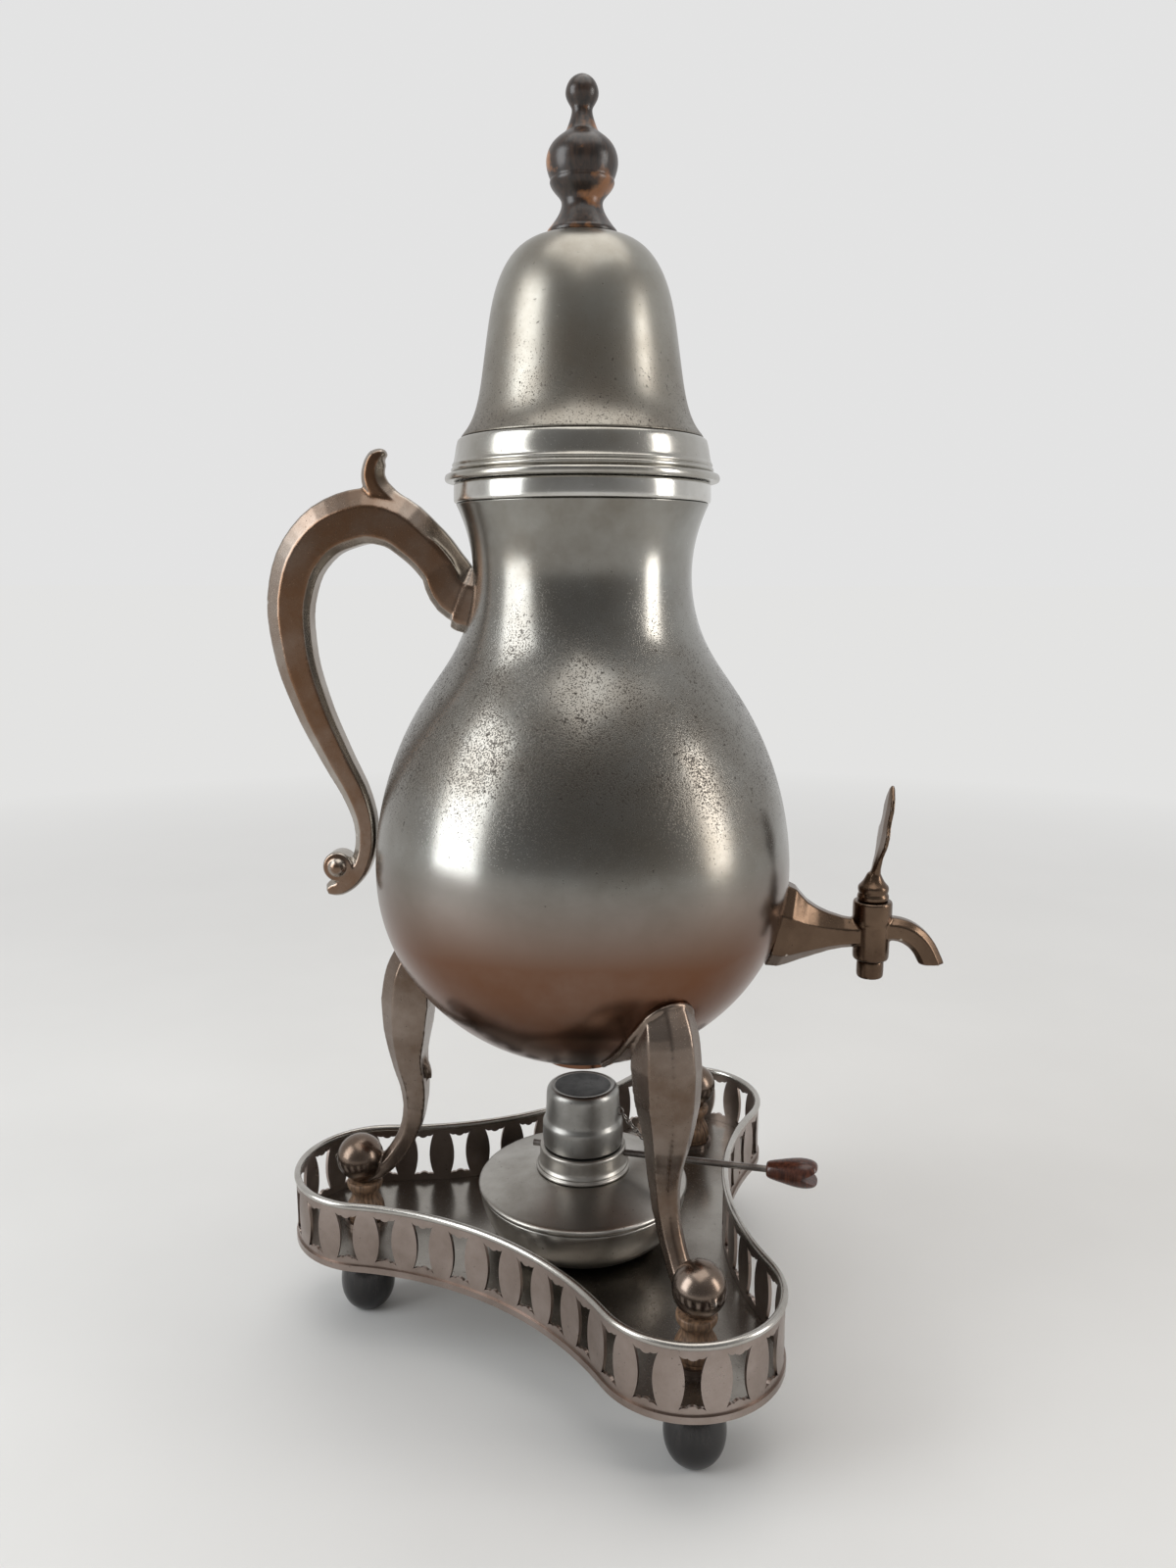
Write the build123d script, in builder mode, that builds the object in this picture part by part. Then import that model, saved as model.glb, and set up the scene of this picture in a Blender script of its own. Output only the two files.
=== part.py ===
from build123d import *
import os
from math import atan2, cos, degrees, hypot, radians, sin, sqrt

# A pewter tap urn with a bell lid, on a three-lobed gallery tray that holds a spirit burner.
# Z is the urn's axis and the table top is z = 0. The tap points along +X and the handle along -X.
# Legs, feet and tray lobes stand at 180, 300 and 60 degrees about Z, named left, front and back.

# Fits
solder_gap = 0.06         # between a cast piece and the curved wall it is soldered to
turn_fit = 0.05           # radial play of a turning plug
slip_fit = 0.25           # radial play of a lift-off piece
pin_fit = 0.05            # radial play of a pin or screw in wood

# Tray plan and heights
lobe_reach = 80.0         # tray centre to the centre of a lobe
lobe_radius = 31.7
waist_reach = 55.2        # tray centre to the middle of a hollow side
gallery_bottom = 34.0
gallery_height = 24.4
gallery_wall = 1.2
base_bead_height = 2.4    # thickened bottom edge of the gallery
base_bead_proud = 0.7
floor_rise = 0.6          # floor's underside above the gallery's bottom edge
floor_thick = 1.4
floor_gap = 0.1
wire_radius = 1.3         # rim wire along the gallery's top
wire_flat = 0.25          # flat filed on the wire's underside
bars_per_lobe = 14
opening_foot = 3.9        # gallery bottom to the lowest point of an opening
opening_height = 18.8
opening_end_width = 8.6
opening_mid_width = 4.9
scallop_depth = 1.7
scallop_width = 3.4

# Tray feet: turned wood on studs under the floor
foot_circle = 86.0        # radius at which feet, spools and leg balls stand
foot_ball_radius = 10.8
foot_ball_height = 12.0
foot_flat_radius = 5.5
foot_neck_radius = 5.6
foot_neck_height = 26.5
foot_head_radius = 8.0
foot_head_thick = 3.6
stud_radius = 2.0
stud_length = 14.0

# Wooden spools between the leg balls and the tray
spool_height = 17.6
spool_base_radius = 6.6
spool_bulge_radius = 7.5
spool_waist_radius = 5.0
spool_head_radius = 6.9
pin_radius = 1.2
pin_depth = 6.0
cup_radius = 8.3          # low metal cup that locates a spool on the floor
cup_height = 1.8
cup_wall = 1.0

# Urn wall
belly_radius = 75.2
belly_mid = 181.0
belly_drop = 70.5         # belly's widest level down to its bottom pole
side_fullness = 0.92      # radius of the belly's lower side, as a share of its drop
shoulder_share = 0.68     # how far down from belly to neck the wall turns from full to hollow
neck_radius = 38.1
neck_rise = 106.0         # belly's widest level up to the narrowest level of the neck
mouth_radius = 43.9
mouth_rise = 24.0         # narrowest level of the neck up to the mouth
urn_wall = 1.9
collar_height = 7.0
collar_proud = 0.7
collar_ledge = 2.9        # how far the collar's bore stands in from the mouth's outside
base_ring_radius = 15.0
base_ring_width = 3.0
base_ring_drop = 1.8      # how far the ring stands below the belly's pole

# Legs
leg_root_drop = 31.0      # belly's widest level down to the top of a leg
leg_top_width = 18.0
leg_knee_width = 20.0
leg_shank_width = 8.4
leg_toe_width = 9.6
leg_ball_radius = 8.3
leg_ball_rise = 8.8       # ball centre above the spool's head
leg_ball_out = 1.0        # ball centre outside the foot circle
leg_bevel = 2.0

# Handle
handle_width = 12.0
handle_toe_width = 7.6
handle_bevel = 2.2
leaf_width = 7.0          # thumb leaf on the crest
leaf_height = 14.6
socket_drop = 7.0         # narrowest level of the neck down to the middle of the socket
socket_stand = 7.0        # neck's wall to the face where the handle meets its socket
socket_height = 21.0
socket_width = 13.0
volute_radius = 5.2
volute_width = 10.0

# Tap
tap_stand = 30.3          # belly's widest radius to the plug's axis
shank_drop = 22.5         # belly's widest level down to the shank's axis
flange_rise = 2.5         # shank's axis up to the middle of the flange
flange_height = 31.0
flange_width = 23.0
flange_stand = 4.6        # belly's wall to the flange's front face, at the flange's middle
flange_lean = 8.0         # degrees that the flange leans with the belly
shank_height = 11.6
shank_width = 9.4
barrel_radius = 6.4
barrel_below = 10.6       # barrel's bottom below the shank's axis
barrel_above = 12.5       # barrel's top above it
barrel_band = 8.0
barrel_band_proud = 0.5
plug_radius_top = 4.4
plug_radius_bottom = 3.7
plug_ring_radius = 5.7
plug_ring_height = 5.4
plug_dome_height = 5.0
tail_radius = 4.85
tail_height = 7.4
tail_gap = 0.1
water_bore = 2.2
spout_length = 27.1       # plug's axis to the front of the spout's mouth
spout_drop = 9.5          # shank's axis down to the spout's mouth
spout_mouth = 8.2         # length of the spout's mouth
spout_width = 8.8
spout_bevel = 1.6
key_height = 31.6
key_lean = 8.0            # degrees that the key leans away from the urn
key_width = 18.0
key_thick = 3.0

# Lid
lip_radius = 47.6
lip_height = 2.8
lip_step = 3.2            # how far the beads stand in from the lip
rim_height = 14.6         # collar's top to the lid's step
rim_wall = 8.8            # lip to the rim's bore
step_width = 5.2          # lip to the lid's step
dome_inset = 14.0         # lip to the dome's flank
dome_rise = 25.0          # step to the level where the dome's flank turns from hollow to full
crown_rise = 65.6         # step to the crown
crown_flat = 12.3
lid_wall = 1.6
bezel_depth = 6.4
bezel_wall = 1.2

# Finial and its fixing
finial_height = 50.0
finial_base_radius = 12.1
finial_ball_radius = 12.1
finial_tip_radius = 5.7
screw_radius = 2.0
screw_length = 22.0
screw_head_radius = 4.0
screw_head_height = 2.0
washer_radius = 6.5
washer_thick = 1.0

# Burner
burner_foot_radius = 25.0
burner_radius = 39.6
burner_bowl_height = 20.0
burner_wall = 1.0
burner_bead = 1.2
burner_top_rise = 7.2     # bowl's rim up to the neck flange
neck_hole_radius = 13.8
collar_flange_radius = 18.1
burner_collar_radius = 16.5
burner_collar_height = 9.4
tube_radius = 8.0
tube_wall = 0.9
tube_rise = 11.5
tube_flange = 1.6
wick_rise = 2.5
wick_depth = 26.0
rod_radius = 1.25
rod_under_lid = 2.6       # rod axis below the collar's top
rod_heading = -9.0        # degrees from +X, seen from above
rod_tail = 19.6
rod_reach = 78.0
knob_start = 70.0
knob_length = 19.0
knob_radius = 5.6
knob_notch = 3.0
cap_radius = 13.9
cap_skirt_radius = 15.4
cap_skirt_height = 10.6
cap_height = 23.6
cap_wall = 1.0
cap_disc_radius = 11.4
cap_disc_sink = 0.5

# Chain between the cap and the rod
link_radius = 1.45
link_wire = 0.34
link_count = 11
eye_radius = 1.5
ring_reach = 32.0

leg_angles = {"left": 180.0, "front": 300.0, "back": 60.0}

os.makedirs("parts", exist_ok=True)

gallery_top = gallery_bottom + gallery_height
floor_bottom = gallery_bottom + floor_rise
floor_top = floor_bottom + floor_thick
spool_top = floor_top + spool_height
neck_level = belly_mid + neck_rise
mouth_level = neck_level + mouth_rise
collar_top = mouth_level + collar_height
collar_bore = mouth_radius - collar_ledge
rim_top = collar_top + rim_height
crown_level = rim_top + crown_rise
belly_pole = belly_mid - belly_drop
shank_level = belly_mid - shank_drop
barrel_bottom = shank_level - barrel_below
barrel_top = shank_level + barrel_above
tap_reach = belly_radius + tap_stand
burner_rim = floor_top + burner_bowl_height
neck_flange_level = burner_rim + burner_top_rise
collar_lid = neck_flange_level + burner_collar_height
rod_level = collar_lid - rod_under_lid
cap_top = collar_lid + cap_height

hollow = waist_reach - lobe_radius
waist_centre = (lobe_reach**2 - hollow**2) / (lobe_reach - 2 * hollow)
waist_radius = waist_centre - waist_reach
lobe_half = degrees(atan2(waist_centre * sin(radians(60)), waist_centre * cos(radians(60)) - lobe_reach))
waist_half = lobe_half - 60.0
bar_pitch = (2 * radians(lobe_half) * lobe_radius + 2 * radians(waist_half) * waist_radius) / bars_per_lobe


def polar(radius, angle):
    """Point at a radius and an angle about the urn's axis."""
    return (radius * cos(radians(angle)), radius * sin(radians(angle)))


def upright(angle):
    """Plane through the urn's axis: x runs outwards at the angle, y runs up."""
    return Plane(
        origin=(0, 0, 0),
        x_dir=(cos(radians(angle)), sin(radians(angle)), 0),
        z_dir=(sin(radians(angle)), -cos(radians(angle)), 0),
    )


def smooth_arcs(points, heading, grow=0.0):
    """Arcs that run smoothly on through points, from a heading in degrees, moved by grow to their right."""
    ends = []
    headings = [heading]
    for start, end in zip(points, points[1:]):
        chord = degrees(atan2(end[1] - start[1], end[0] - start[0]))
        headings.append(2 * chord - headings[-1])
    for (x, y), turn in zip(points, headings):
        ends.append((x + grow * sin(radians(turn)), y - grow * cos(radians(turn))))
    for start, end, turn in zip(ends, ends[1:], headings):
        TangentArc(start, end, tangent=polar(1, turn))
    return ends[0], ends[-1]


def save(part, name):
    """Label a finished piece and write it."""
    part.label = name
    export_step(part, f"parts/{name}.step")


# Tray
def lobe_band(inner, outer, before, after):
    """Closed strip round the lobe at 180 degrees, between two insets of the tray's outline.

    The ends are counted in bar pitches from the tip of the lobe, and lie on the two waists beside it.
    """
    lobe = polar(lobe_reach, 180)
    waist_in = polar(waist_centre, 120)
    waist_out = polar(waist_centre, 240)
    run = bars_per_lobe / 2
    start = 300 - degrees((run + before) * bar_pitch / waist_radius)
    end = 60 - degrees((after - run) * bar_pitch / waist_radius)
    lines = []
    for inset in (inner, outer):
        first = CenterArc(waist_in, waist_radius + inset, start, 300 - waist_half - start)
        middle = CenterArc(lobe, lobe_radius - inset, 180 - lobe_half, 2 * lobe_half)
        last = CenterArc(waist_out, waist_radius + inset, 60 + waist_half, end - 60 - waist_half)
        lines.append((first, middle, last))
    Line(lines[0][0] @ 0, lines[1][0] @ 0)
    Line(lines[0][2] @ 1, lines[1][2] @ 1)


def trefoil(inset):
    """The tray's whole outline, drawn in by an inset."""
    for angle in leg_angles.values():
        CenterArc(polar(lobe_reach, angle), lobe_radius - inset, angle - lobe_half, 2 * lobe_half)
        waist = angle + 60
        start = waist + 180 + waist_half
        CenterArc(polar(waist_centre, waist), waist_radius + inset, start, -2 * waist_half)


def opening_plane(step):
    """Plane on the gallery's wall at a number of bar pitches from the tip of the lobe at 180 degrees."""
    run = bar_pitch * step
    tip_run = radians(lobe_half) * lobe_radius
    if abs(run) <= tip_run:
        facing = 180 + degrees(run / lobe_radius)
        centre, radius = polar(lobe_reach, 180), lobe_radius
    else:
        side = 1 if run > 0 else -1
        left = bar_pitch * bars_per_lobe / 2 - abs(run)
        facing = 180 + side * (60 + degrees(left / waist_radius))
        centre, radius = polar(waist_centre, 180 + side * 60), -waist_radius
    x = centre[0] + radius * cos(radians(facing))
    y = centre[1] + radius * sin(radians(facing))
    middle = gallery_bottom + opening_foot + opening_height / 2
    return Plane(
        origin=(x, y, middle),
        x_dir=(-sin(radians(facing)), cos(radians(facing)), 0),
        z_dir=(cos(radians(facing)), sin(radians(facing)), 0),
    )


def opening_outline():
    """One opening: bars swell in from both sides, and a scallop stands in at the top and the bottom."""
    end, mid = opening_end_width / 2, opening_mid_width / 2
    top, half = opening_height / 2, scallop_width / 2
    ear = top - scallop_depth / 2
    for side in (1, -1):
        ThreePointArc((side * end, -top), (side * mid, 0), (side * end, top))
        ThreePointArc((-end, side * top), (-(end + half) / 2, side * (ear - 0.1)), (-half, side * ear))
        ThreePointArc((-half, side * ear), (0, side * (top - scallop_depth)), (half, side * ear))
        ThreePointArc((half, side * ear), ((end + half) / 2, side * (ear - 0.1)), (end, side * top))


with BuildPart() as tray_floor:
    with BuildSketch(Plane.XY.offset(floor_bottom)):
        with BuildLine():
            trefoil(gallery_wall + floor_gap)
        make_face()
    extrude(amount=floor_thick)
save(tray_floor.part, "tray_floor")

first_seam = -(bars_per_lobe / 2 - 0.5)
last_seam = bars_per_lobe / 2 + 0.5
with BuildPart() as gallery:
    with BuildSketch(Plane.XY.offset(gallery_bottom)):
        with BuildLine():
            lobe_band(gallery_wall, 0, first_seam, last_seam)
        make_face()
    extrude(amount=gallery_height)
    with BuildSketch(Plane.XY.offset(gallery_bottom)):
        with BuildLine():
            lobe_band(gallery_wall / 2, -base_bead_proud, first_seam, last_seam)
        make_face()
    extrude(amount=base_bead_height)
    for step in range(bars_per_lobe):
        with BuildSketch(opening_plane(first_seam + 0.5 + step)):
            with BuildLine():
                opening_outline()
            make_face()
        extrude(amount=2 * gallery_wall, both=True, mode=Mode.SUBTRACT)
for name, angle in leg_angles.items():
    with BuildPart() as turned:
        add(gallery.part.rotate(Axis.Z, angle - 180))
    save(turned.part, f"gallery_{name}")

with BuildPart() as rim_wire:
    with BuildLine(Plane.XY.offset(gallery_top)) as wire_path:
        trefoil(gallery_wall / 2)
    path_start = wire_path.line @ 0
    path_run = wire_path.line % 0
    with BuildSketch(Plane(origin=path_start, x_dir=Vector(0, 0, 1).cross(path_run), z_dir=path_run)):
        with Locations((0, wire_radius - wire_flat)):
            Circle(wire_radius)
        with Locations((0, -wire_radius)):
            Rectangle(2 * wire_radius, 2 * wire_radius, mode=Mode.SUBTRACT)
    sweep(path=wire_path.line, transition=Transition.RIGHT)
save(rim_wire.part, "rim_wire")

with BuildPart() as foot:
    with BuildSketch(upright(180)):
        with BuildLine():
            Line((foot_circle, 0), (foot_circle + foot_flat_radius, 0))
            ball = (foot_circle + foot_ball_radius, foot_ball_height)
            neck = (foot_circle + foot_neck_radius, foot_neck_height)
            head = (foot_circle + foot_head_radius, floor_bottom - foot_head_thick)
            waist = (0.4 * ball[0] + 0.6 * neck[0], 0.4 * ball[1] + 0.6 * neck[1])
            TangentArc(ball, (foot_circle + foot_flat_radius, 0), tangent=(0, -1))
            TangentArc(ball, waist, tangent=(0, 1))
            TangentArc(neck, waist, tangent=(0, -1))
            TangentArc(neck, head, tangent=(0, 1))
            Line(head, (foot_circle + foot_head_radius, floor_bottom))
            Line((foot_circle + foot_head_radius, floor_bottom), (foot_circle, floor_bottom))
            Line((foot_circle, floor_bottom), (foot_circle, 0))
        make_face()
    revolve(axis=Axis((-foot_circle, 0, 0), (0, 0, 1)))
    with Locations((-foot_circle, 0, floor_bottom)):
        Hole(stud_radius + pin_fit, depth=stud_length + 0.5)
with BuildPart() as stud:
    with BuildSketch(Plane.XY.offset(floor_bottom - stud_length)):
        with Locations(*[polar(foot_circle, angle) for angle in leg_angles.values()]):
            Circle(stud_radius)
    extrude(amount=stud_length)
for name, angle in leg_angles.items():
    with BuildPart() as turned:
        add(foot.part.rotate(Axis.Z, angle - 180))
    save(turned.part, f"tray_foot_{name}")
save(stud.part, "foot_studs")

with BuildPart() as spool_cups:
    with BuildSketch(Plane.XY.offset(floor_top)):
        with Locations(*[polar(foot_circle, angle) for angle in leg_angles.values()]):
            Circle(cup_radius)
            Circle(cup_radius - cup_wall, mode=Mode.SUBTRACT)
    extrude(amount=cup_height)
save(spool_cups.part, "spool_cups")


# Urn
side_curve = side_fullness * belly_drop
base_curve = belly_radius**2 + belly_drop**2 - 2 * belly_radius * side_curve
base_curve = base_curve / (2 * (belly_drop - side_curve))
side_centre = (belly_radius - side_curve, belly_mid)
side_run = (side_centre[0], side_centre[1] - belly_pole - base_curve)
base_end = (
    side_centre[0] + side_curve * side_run[0] / hypot(*side_run),
    side_centre[1] + side_curve * side_run[1] / hypot(*side_run),
)
shoulder_end = (
    belly_radius + shoulder_share * (neck_radius - belly_radius),
    belly_mid + shoulder_share * neck_rise,
)
urn_points = [
    (0, belly_pole),
    base_end,
    (belly_radius, belly_mid),
    shoulder_end,
    (neck_radius, neck_level),
    (mouth_radius, mouth_level),
]


def wall_reach(level):
    """The urn's outside radius at a level on its lower side, its shoulder or its neck."""
    if level < belly_mid:
        return side_centre[0] + sqrt(side_curve**2 - (belly_mid - level) ** 2)
    slope = (neck_rise**2 + (belly_radius - neck_radius) ** 2) / (2 * (belly_radius - neck_radius))
    if level < shoulder_end[1]:
        curve = shoulder_share * slope
        return belly_radius - curve + sqrt(curve**2 - (level - belly_mid) ** 2)
    curve = (1 - shoulder_share) * slope
    return neck_radius + curve - sqrt(curve**2 - (neck_level - level) ** 2)


def urn_solid(grow):
    """The urn's outside as a closed solid, with every wall moved out by grow."""
    with BuildPart() as solid:
        with BuildSketch(Plane.XZ):
            with BuildLine():
                pole, mouth = smooth_arcs(urn_points, 0, grow)
                Line(mouth, (0, mouth[1]))
                Line((0, mouth[1]), pole)
            make_face()
        revolve(axis=Axis.Z)
    return solid.part


urn_keep_out = urn_solid(solder_gap)

# The wall is cast in three pieces, soldered round the belly and where the shoulder turns into the neck
wall_seams = {
    "urn_base": [(belly_mid, Keep.BOTTOM)],
    "urn_body": [(belly_mid, Keep.TOP), (shoulder_end[1], Keep.BOTTOM)],
    "urn_neck": [(shoulder_end[1], Keep.TOP)],
}
for name, seams in wall_seams.items():
    with BuildPart() as urn_piece:
        add(urn_solid(0))
        add(urn_solid(-urn_wall), mode=Mode.SUBTRACT)
        with BuildSketch(Plane.YZ.offset(belly_radius / 2)):
            with Locations((0, shank_level)):
                Circle(water_bore)
        extrude(amount=belly_radius, mode=Mode.SUBTRACT)
        for level, keep in seams:
            split(bisect_by=Plane.XY.offset(level), keep=keep)
    save(urn_piece.part, name)

with BuildPart() as neck_collar:
    with BuildSketch(Plane.XY.offset(mouth_level)):
        Circle(mouth_radius + collar_proud)
        Circle(collar_bore, mode=Mode.SUBTRACT)
    extrude(amount=collar_height)
    chamfer(neck_collar.faces().sort_by(Axis.Z)[0].outer_wire().edges(), 0.6)
save(neck_collar.part, "neck_collar")

with BuildPart() as base_ring:
    with BuildSketch(Plane.XY.offset(belly_pole - base_ring_drop)):
        Circle(base_ring_radius)
        Circle(base_ring_radius - base_ring_width, mode=Mode.SUBTRACT)
    extrude(amount=2 * base_ring_drop + 2)
    add(urn_keep_out, mode=Mode.SUBTRACT)
save(base_ring.part, "base_ring")

toe = spool_top
ball_level = spool_top + leg_ball_rise
leg_top = belly_mid - leg_root_drop
leg_root = wall_reach(leg_top)
leg_height = leg_top - toe


def leg_point(out, up):
    """Point on a leg's outline: out runs from the belly's side to the foot circle, up from toe to top."""
    return (leg_root + out * (foot_circle - leg_root), toe + up * leg_height)


with BuildPart() as leg:
    with BuildSketch(upright(180).offset(-leg_knee_width)):
        with BuildLine():
            brow, instep = leg_point(0.17, 1), leg_point(1, 0.083)
            Line(leg_point(-0.39, 1), brow)
            knee, calf, ankle = leg_point(0.5, 0.78), leg_point(0.36, 0.515), leg_point(0.2, 0.335)
            Spline(brow, knee, calf, ankle, leg_point(0.4, 0.175), instep)
            Line(instep, (foot_circle + 6.5, toe + 1.2))
            Line((foot_circle + 6.5, toe + 1.2), (foot_circle + 6, toe))
            Line((foot_circle + 6, toe), (foot_circle - 6, toe))
            heel, shank, spur = leg_point(0.23, 0.08), leg_point(-0.155, 0.226), leg_point(-0.45, 0.456)
            Spline((foot_circle - 6, toe), heel, shank, leg_point(-0.325, 0.398), spur)
            under_knee = leg_point(-1.14, 0.71)
            Spline(spur, leg_point(-0.29, 0.512), leg_point(-0.465, 0.645), under_knee)
            Line(under_knee, leg_point(-0.39, 1))
        make_face()
    extrude(amount=2 * leg_knee_width)
    with BuildSketch(Plane.YZ):
        with BuildLine():
            side = [
                (leg_top_width / 2, leg_top + 1),
                (leg_knee_width / 2, toe + 0.73 * leg_height),
                (leg_knee_width / 2 - 1.6, toe + 0.565 * leg_height),
                (leg_shank_width / 2 + 0.6, toe + 0.4 * leg_height),
                (leg_shank_width / 2 - 0.6, toe + 0.23 * leg_height),
                (leg_toe_width / 2, toe - 1),
            ]
            Spline(*side)
            Spline(*[(-y, z) for y, z in side])
            Line(side[0], (-side[0][0], side[0][1]))
            Line(side[-1], (-side[-1][0], side[-1][1]))
        make_face()
    extrude(amount=-1.5 * foot_circle, mode=Mode.INTERSECT)
    leg_edges = leg.edges().sort_by(SortBy.LENGTH)
    chamfer(leg_edges[-2:], leg_bevel)
    with Locations((-foot_circle - leg_ball_out, 0, ball_level)):
        Sphere(leg_ball_radius)
    with Locations((-foot_circle, 0, toe)):
        Box(40, 40, 10, align=(Align.CENTER, Align.CENTER, Align.MAX), mode=Mode.SUBTRACT)
    add(urn_keep_out, mode=Mode.SUBTRACT)
    with Locations((-foot_circle, 0, toe)):
        Cylinder(
            pin_radius + pin_fit,
            pin_depth,
            align=(Align.CENTER, Align.CENTER, Align.MIN),
            mode=Mode.SUBTRACT,
        )
for name, angle in leg_angles.items():
    with BuildPart() as turned:
        add(leg.part.rotate(Axis.Z, angle - 180))
    save(turned.part, f"leg_{name}")

with BuildPart() as spool:
    with BuildSketch(upright(180)):
        with BuildLine():
            base = (foot_circle + spool_base_radius, floor_top)
            bulge = (foot_circle + spool_bulge_radius, floor_top + 0.3 * spool_height)
            waist = (foot_circle + spool_waist_radius, floor_top + 0.65 * spool_height)
            turn = ((bulge[0] + waist[0]) / 2, (bulge[1] + waist[1]) / 2)
            head = (foot_circle + spool_head_radius, floor_top + 0.86 * spool_height)
            Line((foot_circle, floor_top), base)
            Line(base, (base[0], floor_top + cup_height))
            TangentArc(bulge, (base[0], floor_top + cup_height), tangent=(0, -1))
            TangentArc(bulge, turn, tangent=(0, 1))
            TangentArc(waist, turn, tangent=(0, -1))
            TangentArc(waist, head, tangent=(0, 1))
            Line(head, (head[0], spool_top))
            Line((head[0], spool_top), (foot_circle, spool_top))
            Line((foot_circle, spool_top), (foot_circle, floor_top))
        make_face()
    revolve(axis=Axis((-foot_circle, 0, 0), (0, 0, 1)))
    with Locations((-foot_circle, 0, spool_top)):
        Hole(pin_radius + pin_fit, depth=pin_depth + 0.3)
for name, angle in leg_angles.items():
    with BuildPart() as turned:
        add(spool.part.rotate(Axis.Z, angle - 180))
    save(turned.part, f"spool_{name}")

with BuildPart() as spool_pins:
    with BuildSketch(Plane.XY.offset(spool_top - pin_depth)):
        with Locations(*[polar(foot_circle, angle) for angle in leg_angles.values()]):
            Circle(pin_radius)
    extrude(amount=2 * pin_depth - 0.3)
save(spool_pins.part, "spool_pins")

# Handle
socket_level = neck_level - socket_drop
socket_reach = wall_reach(socket_level) + socket_stand
with BuildPart() as handle_socket:
    with BuildSketch(Plane.YZ.offset(-socket_reach)):
        with Locations((0, socket_level)):
            RectangleRounded(socket_width, socket_height, 4)
    extrude(amount=socket_reach - neck_radius / 2, taper=-6)
    add(urn_keep_out, mode=Mode.SUBTRACT)
save(handle_socket.part, "handle_socket")

# The bar from the socket over the crest to the tail: its middle's distance from the urn's wall, its level
# above the socket's middle, and its depth
handle_bar = [
    (18.9, 16.5, 18),
    (31.4, 27.3, 18),
    (45.9, 26.5, 18),
    (58.9, 18, 17),
    (66.7, 2.5, 16),
    (60.6, -18, 15.2),
    (40.9, -39, 13.2),
    (22.4, -59, 11.3),
    (9.9, -75, 9.6),
    (5.5, -86.5, 8),
    (7.1, -97.5, 6.6),
    (13.1, -105.2, 5),
    (21.9, -109.6, 2.6),
]
crest = 1                 # the bar's highest station, under the thumb leaf
handle_stations = [(socket_reach, socket_level, socket_height)]
for stand, rise, depth in handle_bar:
    wall = wall_reach(min(socket_level + rise, neck_level))
    handle_stations.append((wall + stand, socket_level + rise, depth))


def handle_plane(index):
    """Plane across the handle's bar at one of its stations, square to the way the bar runs there."""
    reach, level, depth = handle_stations[index]
    before = handle_stations[max(index - 1, 0)]
    after = handle_stations[min(index + 1, len(handle_stations) - 1)]
    heading = 0 if index == 0 else atan2(after[1] - before[1], after[0] - before[0])
    return Plane(origin=(-reach, 0, level), x_dir=(0, 1, 0), z_dir=(-cos(heading), 0, sin(heading)))


with BuildPart() as handle:
    for index, (reach, level, depth) in enumerate(handle_stations):
        along = index / (len(handle_stations) - 1)
        width = handle_width + (handle_toe_width - handle_width) * along
        with BuildSketch(handle_plane(index)) as section:
            Rectangle(width, depth)
            chamfer(section.vertices(), min(handle_bevel, 0.28 * depth))
    loft()
    with BuildSketch(upright(180).offset(-leaf_width / 2)):
        with BuildLine():
            leaf_reach, crest_level, crest_depth = handle_stations[crest + 1]
            leaf_foot = crest_level + 0.38 * crest_depth
            heel = (leaf_reach + 13, leaf_foot - 1)
            leaf_back = (leaf_reach + 1.1, leaf_foot + 0.84 * leaf_height)
            leaf_tip = (leaf_reach + 4.7, leaf_foot + 1.14 * leaf_height)
            leaf_front = (leaf_reach + 10.3, leaf_foot + 0.75 * leaf_height)
            Spline((leaf_reach, leaf_foot), leaf_back, leaf_tip, leaf_front, heel)
            Line(heel, (leaf_reach, leaf_foot))
        make_face()
    extrude(amount=leaf_width)
    with BuildSketch(upright(180).offset(-volute_width / 2)):
        tail_reach, tail_level, tail_depth = handle_stations[-2]
        with Locations((tail_reach + 3.2, tail_level + 4.8)):
            Circle(volute_radius)
    extrude(amount=volute_width)
    add(urn_keep_out, mode=Mode.SUBTRACT)
save(handle.part, "handle")

# Tap
flange_level = shank_level + flange_rise
flange_face = wall_reach(flange_level) + flange_stand
with BuildPart() as tap_flange:
    flange_plane = Plane(
        origin=(flange_face, 0, flange_level),
        x_dir=(0, 1, 0),
        z_dir=(cos(radians(flange_lean)), 0, -sin(radians(flange_lean))),
    )
    with BuildSketch(flange_plane):
        with BuildLine():
            half_w, half_h = flange_width / 2, flange_height / 2
            Polyline(
                (-half_w, -half_h + 3),
                (-half_w + 5, -half_h),
                (half_w - 5, -half_h),
                (half_w, -half_h + 3),
                (half_w, half_h - 5),
                (half_w - 6, half_h),
                (-half_w + 6, half_h),
                (-half_w, half_h - 5),
                close=True,
            )
        make_face()
    extrude(amount=-belly_radius / 3)
    add(urn_keep_out, mode=Mode.SUBTRACT)
    with BuildSketch(Plane.YZ):
        with Locations((0, shank_level)):
            Circle(water_bore)
    extrude(amount=2 * belly_radius, mode=Mode.SUBTRACT)
save(tap_flange.part, "tap_flange")


def chamfered_box_face(width, height, corner):
    """Rectangle with its four corners cut off, as the faces of a cast bar are."""
    with BuildSketch() as face:
        Rectangle(width, height)
        chamfer(face.vertices(), corner)
    return face.sketch


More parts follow.
